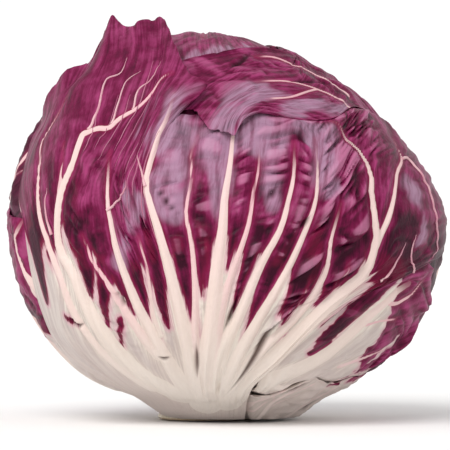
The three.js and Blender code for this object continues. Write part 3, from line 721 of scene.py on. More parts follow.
def inside_strokes(sheet, strokes_of, place):
    """How many millimetres inside the nearest of the strokes each point of a sheet is."""
    points = sheet["base"].reshape(-1, 3)
    return measure_strokes(strokes_of, front_chart, place, points).reshape(sheet["share"].shape)


def pigment_by_rule(sheet, start, phase):
    ragged = uneven(sheet, (9, (5.0, 60.0), 60 + phase), (3, (1.8, 40.0), 61 + phase))
    length = float(sheet["grain"][..., 1].max())
    between = BY_RULE["reach"] * rise(0, BY_RULE["rib_side"], sheet["edge"])
    return ((sheet["share"] - start) * length + ragged + between - BY_RULE["back"]) * SLOPE


def pigment_by_strokes(sheet, strokes_of):
    """Where purple lies on a leaf that is cream but for a few places."""
    ragged = uneven(sheet, (1.1, (1.6, 9.0), 83), (0.5, 0.9, 84))
    return inside_strokes(sheet, strokes_of, on_ball(front_chart)) + ragged


def strokes(*rows, line=front_line):
    """Strokes from rows of places, each row ending in the half widths at its two ends, in mm."""
    return [(line(*places), wide_from, wide_to) for *places, wide_from, wide_to in rows]


STROKES = {
    "leaf_right_low": [
        *strokes(
            ((51.5, 41), (46, 35), (40.5, 30.3), (35.5, 25.5), (30.8, 20.3), 4.2, 2.6),
            ((59, 37), (56.5, 30.5), (52.5, 24.5), (47, 18.5), 10.0, 4.2),
            ((51, 18.5), (46.5, 15.5), (42, 13), (37.5, 9.7), 3.8, 1.2),
        ),
        *strokes(
            ((-20, -16), (-14, -24), (-14, -36), 9.0, 6.0),
            ((2, -12), (4, -24), (2, -36), 14.0, 10.0),
            line=turned_line,
        ),
    ],
    "leaf_base_right": [
        *strokes(
            ((33.5, 9), (37.5, 10.8), (41, 12.5), 0.8, 1.5),
        ),
        *strokes(
            ((-22, -53), (-8, -50), (8, -47), 1.6, 2.4),
            line=turned_line,
        ),
    ],
}

PIGMENT_EDGE = [
    (-58, 60), (-52, 57), (-47.5, 50), (-43, 50), (-39, 52), (-35, 46), (-31, 44), (-27, 42),
    (-21, 42), (-15.5, 44), (-10, 44), (-4, 46), (0, 50), (5, 55), (8.5, 53), (12.5, 49), (17, 46),
    (21, 44), (27, 42), (32.5, 41), (38, 41), (44, 43), (50, 36), (69, 20),
]
TONGUES = strokes(
    ((-51, 61), (-49, 51), (-46.8, 42), (-44.6, 33.5), 7.0, 1.3),
    ((-38.5, 29.6), (-36.5, 28), (-33.6, 26.3), 0.9, 0.5),
    ((-44, 47.5), (-41.5, 42), (-40, 38.5), 1.8, 0.7),
    ((-44, 61.5), (-43, 56), (-43, 51.5), 2.0, 0.6),
    ((-34, 53), (-32.5, 44), (-31, 36.5), 4.0, 1.6),
    ((-27.5, 47), (-27.3, 38), (-26.7, 27.5), 3.0, 0.9),
    ((-25, 43.5), (-21.8, 36.5), (-19.3, 31), 1.9, 0.6),
    ((-23, 29.5), (-23, 24), (-23, 18.5), 0.9, 0.8),
    ((-22, 50), (-19.3, 43), (-16.6, 35.5), (-15.3, 29), 3.8, 0.5),
    ((-14, 50), (-12.7, 42), (-11.4, 33.5), (-9.7, 27.5), 3.8, 0.5),
    ((-12.7, 25.5), (-12, 22), (-11.2, 19), 0.5, 0.2),
    ((-6, 54), (-4.8, 39), (-3.2, 32), (-2.1, 25), 3.8, 0.5),
    ((-1, 54), (-1, 44), (-0.7, 36), 2.4, 0.5),
    ((1.8, 55), (1.2, 47), (0.8, 39), 1.6, 0.5),
    ((11, 63), (8.1, 53), (6.3, 43.5), 3.0, 0.5),
    ((16, 57.5), (12.7, 48), (9.9, 39), (8.2, 31.5), 3.0, 0.5),
    ((20.5, 51), (16.2, 37), (13.8, 30.6), (11.3, 24), 3.8, 1.0),
    ((28.5, 50), (26.1, 40.5), (21, 31), 5.0, 0.8),
    ((36.5, 48), (34.2, 39), (30.5, 33.5), 4.0, 0.7),
    ((42, 47), (40, 41), (37, 37), 3.0, 1.0),
    ((22.6, 24.5), (21, 21.5), (19.5, 18), 0.9, 0.5),
    ((49, 60.5), (49, 57), (48.5, 54.5), 1.4, 0.5),
    # This tongue below the big right rib is purple that also stands in for part of that rib's
    # shadow.
    ((52, 41.5), (44.5, 35.5), (38.5, 31.5), (33, 27.5), 3.0, 1.2),
    ((31.5, 45), (29.3, 39.5), (26.5, 34), 1.9, 0.9),
    ((41.5, 46), (39, 42), (36, 38.8), 1.8, 0.9),
    ((21, 41), (18.5, 35.5), 1.0, 0.6),
    ((26, 37), (24, 33), (21.5, 28.5), 1.4, 0.6),
)
# The bloom strokes lie where the soft light is reflected on the upper front, so the lilac there is
# wax bloom and painted sheen together.
BLOOM_AND_SHEEN = {
    "leaf_front": strokes(
        ((-8, 84), (-9, 72), (-11, 60), 6.0, 4.0),
        ((4, 80), (4, 68), (3, 58), 5.0, 3.5),
        ((16, 82), (18, 72), (19, 62), 6.0, 2.5),
        ((30, 82), (32, 74), (34, 66), 4.5, 2.0),
        ((-17, 62), (-21, 52), (-24, 44), 3.5, 1.5),
        ((58, 64), (61, 55), (62, 46), 3.0, 2.5),
    ),
    "leaf_crown_right": strokes(
        ((4, 82), (9, 88), (16, 92), 6.0, 4.0),
        ((22, 87), (32, 88), (41, 86), 2.5, 2.0),
    ),
    "leaf_crown_left": strokes(
        ((-6, 99), (2, 103), (12, 105), 4.0, 3.0),
    ),
}


def bloom_and_sheen_on(sheet, name):
    """Where the skin wears a lilac bloom of wax with painted sheen of the soft light, from 0 to 1.
    """
    if name not in BLOOM_AND_SHEEN:
        return 0.0 * sheet["share"]
    patchy = uneven(sheet, (4.5, (4.0, 9.0), 95), (2.0, (1.5, 6.0), 96))
    return rise(*BLOOM_AND_SHEEN_EDGE, inside_strokes(sheet, BLOOM_AND_SHEEN[name], on_ball(front_chart)) + patchy)


def depth_of(sheet, leaf):
    """1 where the wine colour is deepest, low down between the ribs, and -1 under full bloom and
    painted sheen.
    """
    if leaf["name"] == "leaf_front":
        height = sheet["base"][..., 2] + uneven(sheet, (12, (7.0, 16.0), 77))
        deep = rise(*DEEP_BELOW["front"], height)
    else:
        share = sheet["share"] + uneven(sheet, (0.15, (7.0, 20.0), 78 + leaf["phase"]))
        deep = DEEP_BELOW["most"] * rise(*DEEP_BELOW["others"], share)
    bloom_and_sheen = bloom_and_sheen_on(sheet, leaf["name"])
    return deep * rise(0.0, DEEP_BELOW["rib_side"], sheet["edge"]) * (1 - bloom_and_sheen) - bloom_and_sheen


def pigment_of_front(sheet):
    edge_x, edge_z = np.array(PIGMENT_EDGE).T
    x, z = sheet["base"][..., 0], sheet["base"][..., 2]
    above = z - np.interp(x, edge_x, edge_z) + uneven(sheet, (4.0, (3.2, 30.0), 71))
    return np.maximum(above * SLOPE, inside_strokes(sheet, TONGUES, stand_off))


print("the pigment has", len(TONGUES), "tongues between the ribs of the front leaf")

# %% [markdown]
# ## Ribs of the front leaf
#
# The fan of the front leaf is what makes this head its own, so its ribs are placed one by one:
# a broad cream midrib, laterals on both sides, and the forks that run out as pink veins. Half
# widths and heights are in millimetres, at the stem end and at the tip.

# %% Front leaf ribs
CORD_HALF_WIDTH = 0.55
CORNER_LEFT_OF, CORNER_ABOVE = -8, 96


def on_front(*pairs):
    """Directions on the front leaf. High on the left it stands off the ball."""
    return [standing(x, z) if z > CORNER_ABOVE and x < CORNER_LEFT_OF else front(x, z)
            for x, z in pairs]


def front_ribs(*rows):
    """Ribs from rows of points, half widths, heights, how pink they are and where they end."""
    return [rib(on_front(*points), *rest) for points, *rest in rows]


CREAM = (0.0, 0.6)
FADES = (0.15, 1.0)
PINK = (0.7, 1.0)
FRONT_RIBS = front_ribs(
    (((0, 4.5), (1, 16.5), (2.5, 30.5), (3.5, 44), (5, 54.5), (5.5, 62.5), (7, 72), (8, 83)),
      (4.6, 0.45), (2.4, 0.4), CREAM, 0.95),
    (((-1.5, 11), (-2.5, 25), (-2.5, 37.5), (-3.5, 51), (-5, 59), (-3.5, 68), (-3.5, 75.5),
      (-2, 79.5)), (1.5, 0.25), (1.0, 0.2), FADES),
    (((-1.5, 5), (-4, 19.5), (-7.5, 35), (-11.5, 50.5), (-14, 59), (-16, 66), (-15.5, 69.5),
      (-13.5, 75.5), (-12, 79.5), (-8.5, 85), (-7.5, 89)), (3.2, 0.4), (2.0, 0.3), CREAM),
    (((-16, 66), (-17, 70), (-18, 74.5)), (0.5, 0.2), (0.4, 0.1), PINK),
    (((-3.5, 6.5), (-12.5, 22), (-19, 35), (-24.5, 50.5), (-25.5, 56), (-26.5, 61), (-26.5, 68),
      (-26, 75.5)), (3.0, 0.3), (1.9, 0.25), CREAM),
    (((-26.5, 59.5), (-23, 62.5), (-21.5, 65.5), (-21, 67.5)), (0.45, 0.2), (0.4, 0.1), PINK),
    (((-12, 25), (-14, 31), (-15.5, 43), (-18, 52.5)), (0.7, 0.25), (0.6, 0.2), FADES),
    (((-12.5, 19), (-20.5, 30), (-25, 37), (-27.5, 41), (-31, 46), (-32, 49), (-33.5, 52.5)),
      (2.2, 0.35), (1.2, 0.2), FADES),
    (((-7, 6.5), (-21, 16.5), (-29.5, 28), (-34.5, 37.5), (-36.5, 42), (-40, 47), (-41, 51),
      (-41, 54.5), (-40.5, 60.5), (-39.5, 65), (-36.5, 72), (-35, 76.5), (-33.5, 80.5)),
      (4.4, 0.95), (2.4, 0.7), (0.0, 0.45), 1),
    (((-40.5, 62.5), (-40, 68), (-39, 78)), (0.9, 0.25), (0.6, 0.2), PINK),
    (((-33.5, 80.5), (-29.5, 82), (-26.5, 82), (-23.5, 84.5), (-19, 87), (-15.5, 89.5), (-11.5, 93),
      (-9, 97)), (0.95, 0.35), (0.75, 0.25), (0.5, 1.0), 0.9),
    (((-32, 81.5), (-29, 86.5), (-26, 93.5), (-23.5, 98), (-21.5, 101.5)), (0.5, 0.2), (0.45, 0.15),
      PINK),
    (((-25.5, 83), (-23, 88.5), (-20.5, 93), (-18, 98.5)), (0.35, 0.15), (0.3, 0.1), PINK),
    (((-19.5, 87), (-17.5, 91.5), (-15.5, 96.5), (-12, 100.5)), (0.35, 0.15), (0.3, 0.1), PINK),
    (((-15.5, 9.5), (-28, 19.5), (-36, 30), (-40.5, 40.5), (-43, 46), (-44.5, 50.5), (-46.5, 55.5),
      (-47.5, 61), (-47, 73), (-46.5, 79), (-43, 84), (-37.5, 90)), (2.6, 0.3), (1.6, 0.25),
      (0.1, 0.8)),
    (((-43, 52.5), (-44.5, 59), (-44, 65.5)), (0.5, 0.2), (0.4, 0.15), PINK),
    (((2.5, 13.5), (4, 28), (6, 37.5), (8.5, 45), (12, 55.5), (13.5, 65), (15, 72), (14.5, 78)),
      (1.8, 0.25), (1.2, 0.2), FADES),
    (((2, 9.5), (5, 21), (10, 32), (15.5, 45), (20.5, 54), (23, 62.5), (24.5, 69.5), (24.5, 78)),
      (2.6, 0.35), (1.8, 0.3), CREAM),
    (((3.5, 6.5), (10, 21), (17, 33.5), (20, 38.5), (23.5, 45), (27.5, 54), (30.5, 62.5),
      (31, 69.5), (30.5, 79)), (2.6, 0.25), (1.8, 0.2), (0.0, 0.6)),
    (((5, 6), (14, 19.5), (24, 29), (30, 36.5), (33.5, 44), (34.5, 51), (36, 56.5), (37.5, 61.5)),
      (2.8, 0.3), (1.8, 0.25), (0.0, 0.6)),
    (((6.5, 5), (18.5, 18), (29.5, 29), (38, 37), (44.5, 42.5), (46.5, 47.5), (47.5, 52),
      (47, 56.5), (46, 65), (46, 69.5), (43, 75.5), (39, 79), (36, 83.5), (33.5, 85)), (4.2, 0.4),
      (2.6, 0.35), CREAM),
    (((47.5, 49.5), (48.5, 52), (50.5, 56.5), (52.5, 63.5), (53.5, 69.5), (55, 73.5), (53.5, 78),
      (53, 79)), (1.1, 0.3), (0.8, 0.2), (0.3, 0.9)),
    (((55, 73.5), (56.5, 73.5), (59, 70), (61.5, 66), (63.5, 61), (64.5, 55.5), (64.5, 49.5),
      (63, 46)), (0.45, 0.4), (0.4, 0.3), PINK),
    (((48, 40), (51, 42.5), (53.5, 46), (55.5, 50.5)), (0.4, 0.2), (0.3, 0.1), PINK),
    (((58, 42), (57, 46), (58, 52.5)), (0.4, 0.2), (0.3, 0.1), PINK),
)
# Creases are pressed into the sheet and darkened with painted shade. The one along the lower edge
# of the big right rib and the one at the lower left outline stand for shadows under overlapping
# edges.
FRONT_CREASES = strokes(
    ((4.9, 7.3), (9, 12.5), (12.7, 18), (16.5, 24.5), (19.8, 29.2), (24.5, 32.5), (29.9, 35), 0.3,
     0.45),
    ((4.6, 25), (7.1, 30.6), (9.9, 38.6), 0.2, 0.4),
    ((-14.5, 67.4), (-12, 64.5), (-9, 60.5), (-5.6, 56.8), 0.3, 0.2),
    ((-13.6, 19.4), (-11, 19.2), (-8.4, 19), 0.15, 0.15),
    ((-25.5, 38.5), (-22.6, 35.5), (-20, 31), 0.25, 0.15),
    ((-38.5, 29.5), (-34.5, 27.5), (-33, 28.5), 0.5, 0.2),
    ((-2.2, 26), (-2, 19), (-1.8, 12), 0.15, 0.1),
    ((30.5, 25.8), (34, 28.6), (38, 31.8), (43, 34.8), (48, 38), (51.5, 41), 0.3, 0.7),
    ((-37.8, 29.2), (-35.5, 27.5), (-33, 28), 0.5, 0.4),
    ((-44.5, 24), (-42, 21.5), (-39.5, 19), 0.5, 0.5),
    ((16, 60.5), (18, 64), (21, 67), 0.3, 0.3),
    ((25, 53.5), (27, 56), (29.3, 58.5), 0.3, 0.3),
    ((28.5, 87.2), (26, 88.3), (23.5, 87.6), 0.5, 0.3),
)
FRONT_CORDS = [one for one in FRONT_RIBS if one["wide"][0] <= CORD_HALF_WIDTH]
FRONT_RIBS = [one for one in FRONT_RIBS if one["wide"][0] > CORD_HALF_WIDTH]
print("front leaf:", len(FRONT_RIBS), "ribs,", len(FRONT_CORDS), "thin veins and",
      len(FRONT_CREASES), "creases")

# %% [markdown]
# ## Ribs that follow the guides
#
# The ribs of most other leaves run along their own guide lines, so a rule makes them. Each
# guide but the outer two carries one, and side veins fork off it at an acute angle, now left
# and now right, as they do in a real leaf.

# %% Ribs by rule
GUIDE_RIB = dict(points=12, wide_tip=0.35, high_tip=0.25, pink=(0.0, 1.0), ends=0.7)
BRANCHES = dict(start=0.4, end=0.88, every=0.12, turn=(24, 40), drift=0.03, reach=(8, 15),
                wide=0.5, thinner=1.2)
FORK = dict(points=4, ahead=0.02, bends_back=0.35, wide_tip=0.3, high=0.8, high_tip=0.1)


def fork(chart, line, share, turn, reach, wide):
    """A side vein, half width wide at its root, that leaves a line at a share of its length."""
    here, ahead = line.at([share, min(share + FORK["ahead"], 1.0)])
    way = math.atan2(*(ahead - here)[::-1])
    steps = np.linspace(0, 1, FORK["points"])
    bearing = way + math.radians(turn) * (1 - FORK["bends_back"] * steps)
    hop = np.stack([np.cos(bearing), np.sin(bearing)], -1) * (reach / (FORK["points"] - 1))
    flats = here + np.vstack([[0.0, 0.0], np.cumsum(hop[:-1], axis=0)])
    high = (wide * FORK["high"], FORK["high_tip"])
    return rib(list(chart.dirs(flats)), (wide, FORK["wide_tip"]), high, PINK)


def ribs_by_rule(middle, guides, wide, high, seed, reach):
    draw = np.random.default_rng(seed)
    chart = Chart(middle)
    made = []
    inner = guides[1:-1]
    for k, points in enumerate(inner):
        strong = 1 - abs((k - (len(inner) - 1) / 2) / len(inner))
        line = Line(chart.flat(np.array(points)))
        drawn = list(chart.dirs(line.at(np.linspace(0, reach, GUIDE_RIB["points"]))))
        made.append(rib(drawn, (wide * strong, GUIDE_RIB["wide_tip"]),
                        (high * strong, GUIDE_RIB["high_tip"]), GUIDE_RIB["pink"],
                        GUIDE_RIB["ends"]))
        shares = np.arange(BRANCHES["start"], BRANCHES["end"] * reach, BRANCHES["every"])
        for n, share in enumerate(shares):
            turn = (1 if n % 2 else -1) * draw.uniform(*BRANCHES["turn"])
            drift = draw.uniform(-BRANCHES["drift"], BRANCHES["drift"])
            made.append(fork(chart, line, share + drift, turn, draw.uniform(*BRANCHES["reach"]),
                             BRANCHES["wide"] * (BRANCHES["thinner"] - share)))
    return made


def even_leaf(name, slot, middle, guides, columns, rows, by_rule=None, **more):
    """A leaf of the list. by_rule is the half width and height of ribs that follow the guides."""
    reach = more.pop("reach", 1.0)
    ribs = more.pop("ribs", [])
    if by_rule:
        ribs = ribs + ribs_by_rule(middle, guides, *by_rule, sum(map(ord, name)), reach)
    return dict(name=name, slot=slot, middle=middle, guides=guides, columns=columns, rows=rows,
                ribs=ribs, **more)


print("side veins turn off by", *BRANCHES["turn"], "degrees")

# %% [markdown]
# ## The leaves, from the outside in
#
# The guide lines are those of the solid sheets, so each finished leaf lies where its node lies.

# %% Guides of the two great leaves
def guides_from(*rows):
    """Guide lines from rows of a bearing at the stem and the bearings and heights above it."""
    return [[root(bearing), *turned_line(*pairs)] for bearing, *pairs in rows]


CROWN_RIGHT = [
    [root(20), *turned_line((16, -40), (14, -5), (6, 25), (-20, 37)),
     *front_line((34, 84.5), (24, 84.5), (11, 88))],
    [root(33), *turned_line((30, -40), (28, -5), (20, 30), (-8, 48)),
     *front_line((34, 90), (22, 89.5), (12, 87), (8.5, 83), (7.5, 78))],
    [root(46), *turned_line((44, -40), (42, 0), (35, 35), (5, 58)),
     *front_line((26, 94), (14, 92), (5, 86), (1.5, 80.5))],
    [root(60), *turned_line((60, -40), (58, 0), (52, 35), (35, 60)),
     *front_line((24, 99), (12, 98), (2, 93), (-6.5, 86.5))],
    [root(75), *turned_line((75, -40), (72, 0), (68, 35), (60, 60)),
     *front_line((26, 102), (14, 103), (1, 101), (-13, 97))],
]
FRONT = [
    [root(-146), *front_line((-30, 12), (-41, 20), (-47, 31), (-51, 45), (-52.5, 55)),
     *turned_line((-172, 10), (-180, 22), (175, 32))],
    [root(-138), *front_line((-27, 13), (-37, 26), (-40, 42), (-45, 55), (-48, 65), (-48.5, 76),
                             (-42.5, 88)), standing(-39.5, 97), standing(-34.5, 106)],
    [root(-130), *front_line((-24, 13), (-33, 28), (-37, 43), (-41, 56), (-42, 66), (-41.5, 77),
                             (-38.5, 89)), standing(-35, 101), standing(-30, 111.5)],
    [root(-122), *front_line((-20, 13), (-29, 26), (-34, 40), (-38, 54), (-37, 68), (-33, 81),
                             (-29, 92)), standing(-27, 103), standing(-26, 113.8)],
    [root(-114), *front_line((-17, 13), (-26, 26), (-31, 40), (-34, 54), (-32, 68), (-26, 81),
                             (-21, 92)), standing(-19, 102), standing(-19, 111.8)],
    [root(-107), *front_line((-13, 12), (-18, 28), (-22, 42), (-26, 57), (-27, 68), (-21, 80),
                             (-15, 90)), standing(-12.5, 101), standing(-11.5, 113.2)],
    [root(-101), *front_line((-9, 12), (-13, 27), (-17, 43), (-21, 56), (-22, 67), (-17, 78),
                             (-11, 88)), standing(-7.5, 96), standing(-5.5, 101)],
    [root(-96), *front_line((-6, 13), (-9.5, 28), (-12.5, 42), (-17, 55), (-18.5, 65),
                            (-16.5, 74), (-12, 82), (-5, 88), (1, 90.5))],
    [root(-92), *front_line((-4, 16), (-7, 30), (-10, 44), (-14, 55), (-16, 65), (-14, 72),
                            (-11, 79), (-8, 84.5))],
    [root(-87), *front_line((-1.5, 16), (-2, 30), (-3, 42), (-5, 52), (-5, 62), (-4, 70),
                            (-3, 78), (-1, 87.5))],
    [root(-82), *front_line((0.5, 14), (1.5, 24), (3, 38), (5, 50), (6, 62), (7, 73), (8, 80),
                            (8, 91))],
    [root(-77), *front_line((3, 13), (5, 26), (7.5, 38), (10.5, 50), (14, 62), (15.5, 73),
                            (16, 80), (17, 91))],
    [root(-72), *front_line((4.5, 13), (8, 26), (12, 38), (16.5, 48), (21, 60), (24, 70),
                            (25, 78), (25, 90))],
    [root(-66), *front_line((6.5, 12), (12, 23), (18, 34), (22, 44), (26, 54), (29.5, 63),
                            (31, 71), (31, 86))],
    [root(-60), *front_line((9, 12), (16, 20), (23, 31), (30, 39), (34, 50), (37, 60), (38, 70),
                            (39, 80), (40, 88))],
    [root(-55), *front_line((11, 10.5), (19, 19), (27.5, 28.5), (35.5, 36), (43.5, 41.5),
                            (47, 48), (47.5, 60), (47, 74), (46, 84), (44, 91))],
    [root(-51), *front_line((12, 10.5), (19.5, 19), (28, 28), (36.5, 35.5), (44.5, 40.5),
                            (51, 46.5), (53, 58), (54, 70), (55, 78)), turned(2, 44)],
    [root(-47), *front_line((13, 10.5), (20.2, 18), (28.8, 26.8), (38, 33.8), (46, 38.8),
                            (54, 43), (61, 47.5), (64.5, 55), (63.5, 64)),
     turned(2, 24), turned(16, 40)],
    [root(-43), *front_line((14, 10.5), (20.5, 16.5), (29.5, 25), (38.8, 32), (47.5, 37.2),
                            (56, 41), (62, 44)),
     *turned_line((-6, -8), (8, 2), (20, 18), (26, 34))],
]


TUCK = dict(deep=2.0, places=3, start=0.2, full=0.6)
LIP = dict(high=3.0, start=0.86, left=(0, 0.8), right=(2.8, 2))
ZONE = dict(left=0.5, more=0.5, less=0.75, to_right=(7, 11), to_right_rim=(14.3, 15.6),
            left_rim=(0.5, 3.5), lobe_up=(0.62, 0.8), lobe_across=(8, 7), start=(0.16, 0.36))


def lobe_lift(place, share):
    """Lifts the corner of the front leaf, and presses its left side down."""
    corner = rise(*LOBE["left"], place) * rise(*LOBE["right"], place)
    tucked = rise(TUCK["places"], 0, place) * rise(TUCK["start"], TUCK["full"], share)
    return LOBE["high"] * corner * rise(LOBE["start"], LOBE["full"], share) - TUCK["deep"] * tucked


def lobe_free(place, share):
    return np.where(place < LOBE["ends"], rise(LOBE["free"], LOBE["start"], share), 0.0)


def front_zone(place, share):
    """Blisters are strongest to the right of the midrib; the lobe and the margins are smooth."""
    right = ZONE["left"] + ZONE["more"] * rise(*ZONE["to_right"], place)
    right = right - ZONE["less"] * rise(*ZONE["to_right_rim"], place)
    left_rim = rise(*ZONE["left_rim"], place)
    lobe = rise(*ZONE["lobe_up"], share) * rise(*ZONE["lobe_across"], place)
    return rise(*ZONE["start"], share) * right * left_rim * (1 - ZONE["less"] * lobe)


LOBE_CUTS = [(2.35, 2.75, 1.6), (3.1, 4.8, 2.2), (5.3, 6.2, 1.5)]


def crown_lip(place, share):
    curled = rise(*LIP["left"], place) * rise(*LIP["right"], place)
    return LIP["high"] * rise(LIP["start"], 1, share) * curled


RIGHT_LOW_RIBS = front_ribs(
    (((6.5, 7), (21, 12.5), (32.5, 18), (40, 24), (46.5, 30), (51.5, 34), (54, 36.5), (57.5, 38.5)),
      (5.2, 0.9), (1.7, 0.5), (0.0, 0.4)),
    (((38, 15), (42, 16.5), (46, 18), (51, 20)), (0.8, 0.3), (0.6, 0.2), PINK),
    (((52, 33), (54, 33), (56, 34), (58.5, 35.5), (61.5, 39.5)), (0.7, 0.3), (0.6, 0.2), PINK),
    (((44, 27), (49, 28), (54, 28.5)), (0.5, 0.3), (0.5, 0.2), PINK),
    (((20, 9), (28, 10), (36, 10.5), (42, 12)), (1.6, 0.3), (0.8, 0.2), FADES),
)


CROWN_RIBS = front_ribs(
    (((40, 91), (34, 95), (27, 98.5), (19, 101), (14, 101)), (0.7, 0.3), (0.5, 0.2), PINK),
    (((47, 84), (40, 88.5), (31, 92.5), (22, 94.5), (14, 94)), (0.6, 0.25), (0.5, 0.15), PINK),
    (((31, 92.5), (24, 90.5), (17, 89.5)), (0.35, 0.2), (0.3, 0.1), PINK),
)
CROWN_CREASES = strokes(
    ((2.5, 100.5), (5.5, 103), (10.5, 104), 0.45, 0.3),
    ((5.5, 97), (11, 100.5), (13, 103), 0.5, 0.3),
    ((36, 93), (29, 94.5), (21, 94), 0.3, 0.2),
)
BASE_CREASES = strokes(
    ((19, 6.3), (25, 8.8), (32.5, 12.6), 0.3, 0.3),
    ((26, 3.2), (30, 4.2), (34.5, 4.4), 0.5, 0.3),
)
LEFT_RIBS = [
    *front_ribs(
        (((-22, 8), (-33, 20), (-43.8, 31.5), (-49, 37), (-51.4, 42), (-53, 47), (-53, 52.5),
          (-52.8, 58)), (4.6, 0.4), (2.6, 0.3), CREAM),
        (((-30, 22), (-40, 33), (-46, 40), (-48.5, 46.5), (-49.5, 54)), (1.2, 0.25),
         (0.8, 0.2), PINK),
    ),
    rib(turned_line((-176, -60), (-178, -38), (178, -15), (176, 5)), (2.6, 0.3), (1.5, 0.3)),
    rib(turned_line((164, -60), (162, -38), (159, -15), (158, 8)), (2.4, 0.3), (1.4, 0.3)),
]


# %% [markdown]
# ## The leaves of the head
#
# A head is a stack of wrapper leaves, each folded over the ones inside it. The list runs from
# the outermost leaf inwards, because every leaf that is laid lowers the room for the next.
# Each entry gives the guide lines of a leaf, how high it rests off the ball and how lively its
# surface is. Most get their ribs by rule, three have only ribs placed one by one, and one both.

# %% All leaves
BURGUNDY, CREAM_LEAF, INNER = "leaf_burgundy", "leaf_cream", "leaf_inner"
LEAVES = [
    even_leaf("leaf_crown_right", BURGUNDY, turned(20, 25), CROWN_RIGHT, 150, 240, (1.5, 1.0),
              rest=0.3, phase=20, wavy=0.3, hem=1.0, brim=1.0, lift=crown_lip, pale=0.2, reach=0.66,
              ribs=CROWN_RIBS, creases=CROWN_CREASES, grooves=0.45, frill=0.3),
    dict(name="leaf_front", slot=BURGUNDY, middle=turned(-90, 0), guides=FRONT, ribs=FRONT_RIBS,
         columns=252, rows=280, rest=-0.3, phase=20, lift=lobe_lift, stands=True,
         free=lobe_free,
         creases=FRONT_CREASES, cuts=LOBE_CUTS, pucker=0.6, pleat=1.5, fold=1.0, midrib=10.0,
         zone=front_zone),
    even_leaf("leaf_base_right", CREAM_LEAF, turned(-20, -65), [
        [root(-70), *front_line((8, 5), (10, 6.5))],
        [root(-55), *front_line((14, 5), (19.5, 7.5))],
        [root(-40), *front_line((20, 5.5), (31, 12.5))],
        [root(-25), *turned_line((-30, -66), (-25, -52))],
        [root(-8), *turned_line((-12, -66), (-8, -48))],
        [root(10), *turned_line((6, -66), (8, -46))],
        [root(28), *turned_line((24, -66), (24, -50))],
    ], 110, 60, (1.6, 0.7), rest=-0.9, phase=8, wavy=0.0, frill=0.15, teeth=0.3,
       fold=0.0, pleat=0.9, creases=BASE_CREASES),
    even_leaf("leaf_right_low", BURGUNDY, turned(-35, -35), [
        [root(-62), *front_line((20, 22), (34, 37), (47, 46), (58, 48))],
        [root(-56), *front_line((22, 17), (35, 28), (48, 38)), turned(-22, -9)],
        [root(-50), *front_line((24, 12), (35, 19), (46, 28.5), (54, 36.5)), turned(-15, -14)],
        [root(-43), *front_line((25, 9.6), (38, 16), (50, 24.5)), turned(-9, -23)],
        [root(-36), *front_line((26, 7.6), (39, 12)), turned(-10, -33)],
        [root(-30), *front_line((25, 6), (34, 8)), turned(-16, -45)],
        [root(-24), *front_line((22, 5), (28, 6)), turned(-28, -57)],
    ], 140, 160, rest=-1.1, phase=13, frill=1.2, ribs=RIGHT_LOW_RIBS),
    even_leaf("leaf_back_low", BURGUNDY, turned(92, -35), guides_from(
        (56, (50, -45), (50, -18)),
        (73, (72, -45), (70, -2)),
        (92, (94, -45), (94, 4)),
        (111, (116, -45), (117, -3)),
        (128, (136, -45), (136, -20)),
    ), 150, 110, (3.6, 2.0), rest=0.6, phase=12, pale=0.34, frill=1.0),
    even_leaf("leaf_left", BURGUNDY, turned(180, -30), guides_from(
        (155, (148, -45), (143, -12), (142, 10)),
        (170, (164, -45), (160, -12), (158, 12)),
        (-172, (-178, -45), (178, -12), (176, 7)),
        (-155, (-160, -45), (-164, -14), (-168, 4)),
        (-140, (-143, -45), (-146, -17), (-150, 0)),
    ), 130, 140, rest=-1.2, phase=12, pale=0.56, ribs=LEFT_RIBS, frill=1.2),
    even_leaf("leaf_crown_left", BURGUNDY, turned(115, 35), [
        [root(80), *turned_line((76, -40), (72, 0), (62, 38), (22, 60)), *front_line((29, 96))],
        [root(101), *turned_line((97, -40), (94, 0), (88, 42), (52, 76)), *front_line((16, 99))],
        [root(122), *turned_line((120, -40), (118, 0), (115, 45), (108, 82)), *front_line((3, 94))],
        [root(143), *turned_line((143, -40), (143, 0), (143, 40), (162, 70)),
         *front_line((-12, 93))],
        [root(160), *turned_line((165, -40), (168, 0), (165, 35), (-172, 58)),
         *front_line((-26, 91))],
    ], 140, 180, (2.8, 1.6), rest=-1.6, phase=18, pale=0.22, reach=0.85, pleat=0.15, pucker=0.35,
       frill=0.3, fold=0.35),
    even_leaf("leaf_back_left", INNER, turned(155, 10), guides_from(
        (135, (130, -30), (130, 20), (115, 56)),
        (150, (145, -30), (145, 25), (130, 64)),
        (165, (162, -30), (162, 25), (155, 66)),
        (180, (-178, -30), (180, 20), (178, 58)),
        (-165, (-160, -30), (-162, 20), (-165, 50)),
    ), 90, 120, (2.0, 0.9), rest=-0.6, phase=14, pale=0.25),
    even_leaf("leaf_inner_right", INNER, turned(10, 10), guides_from(
        (-20, (-25, -30), (-28, 20), (-32, 55)),
        (-1, (-1, -30), (0, 25), (0, 66)),
        (18, (20, -30), (22, 25), (42, 68)),
        (36, (42, -30), (46, 20), (66, 60)),
    ), 80, 110, (2.0, 0.9), rest=-1.0, phase=14, pale=0.25),
    even_leaf("leaf_inner_top", INNER, turned(-90, 15), guides_from(
        (-120, (-125, -30), (-128, 20), (-140, 60)),
        (-100, (-102, -30), (-104, 30), (-122, 74)),
        (-80, (-77, -30), (-76, 30), (-52, 74)),
        (-60, (-54, -30), (-50, 20), (-38, 58)),
    ), 80, 110, (2.0, 0.9), rest=-1.4, phase=14, pale=0.25),
]
print(len(LEAVES), "leaves")
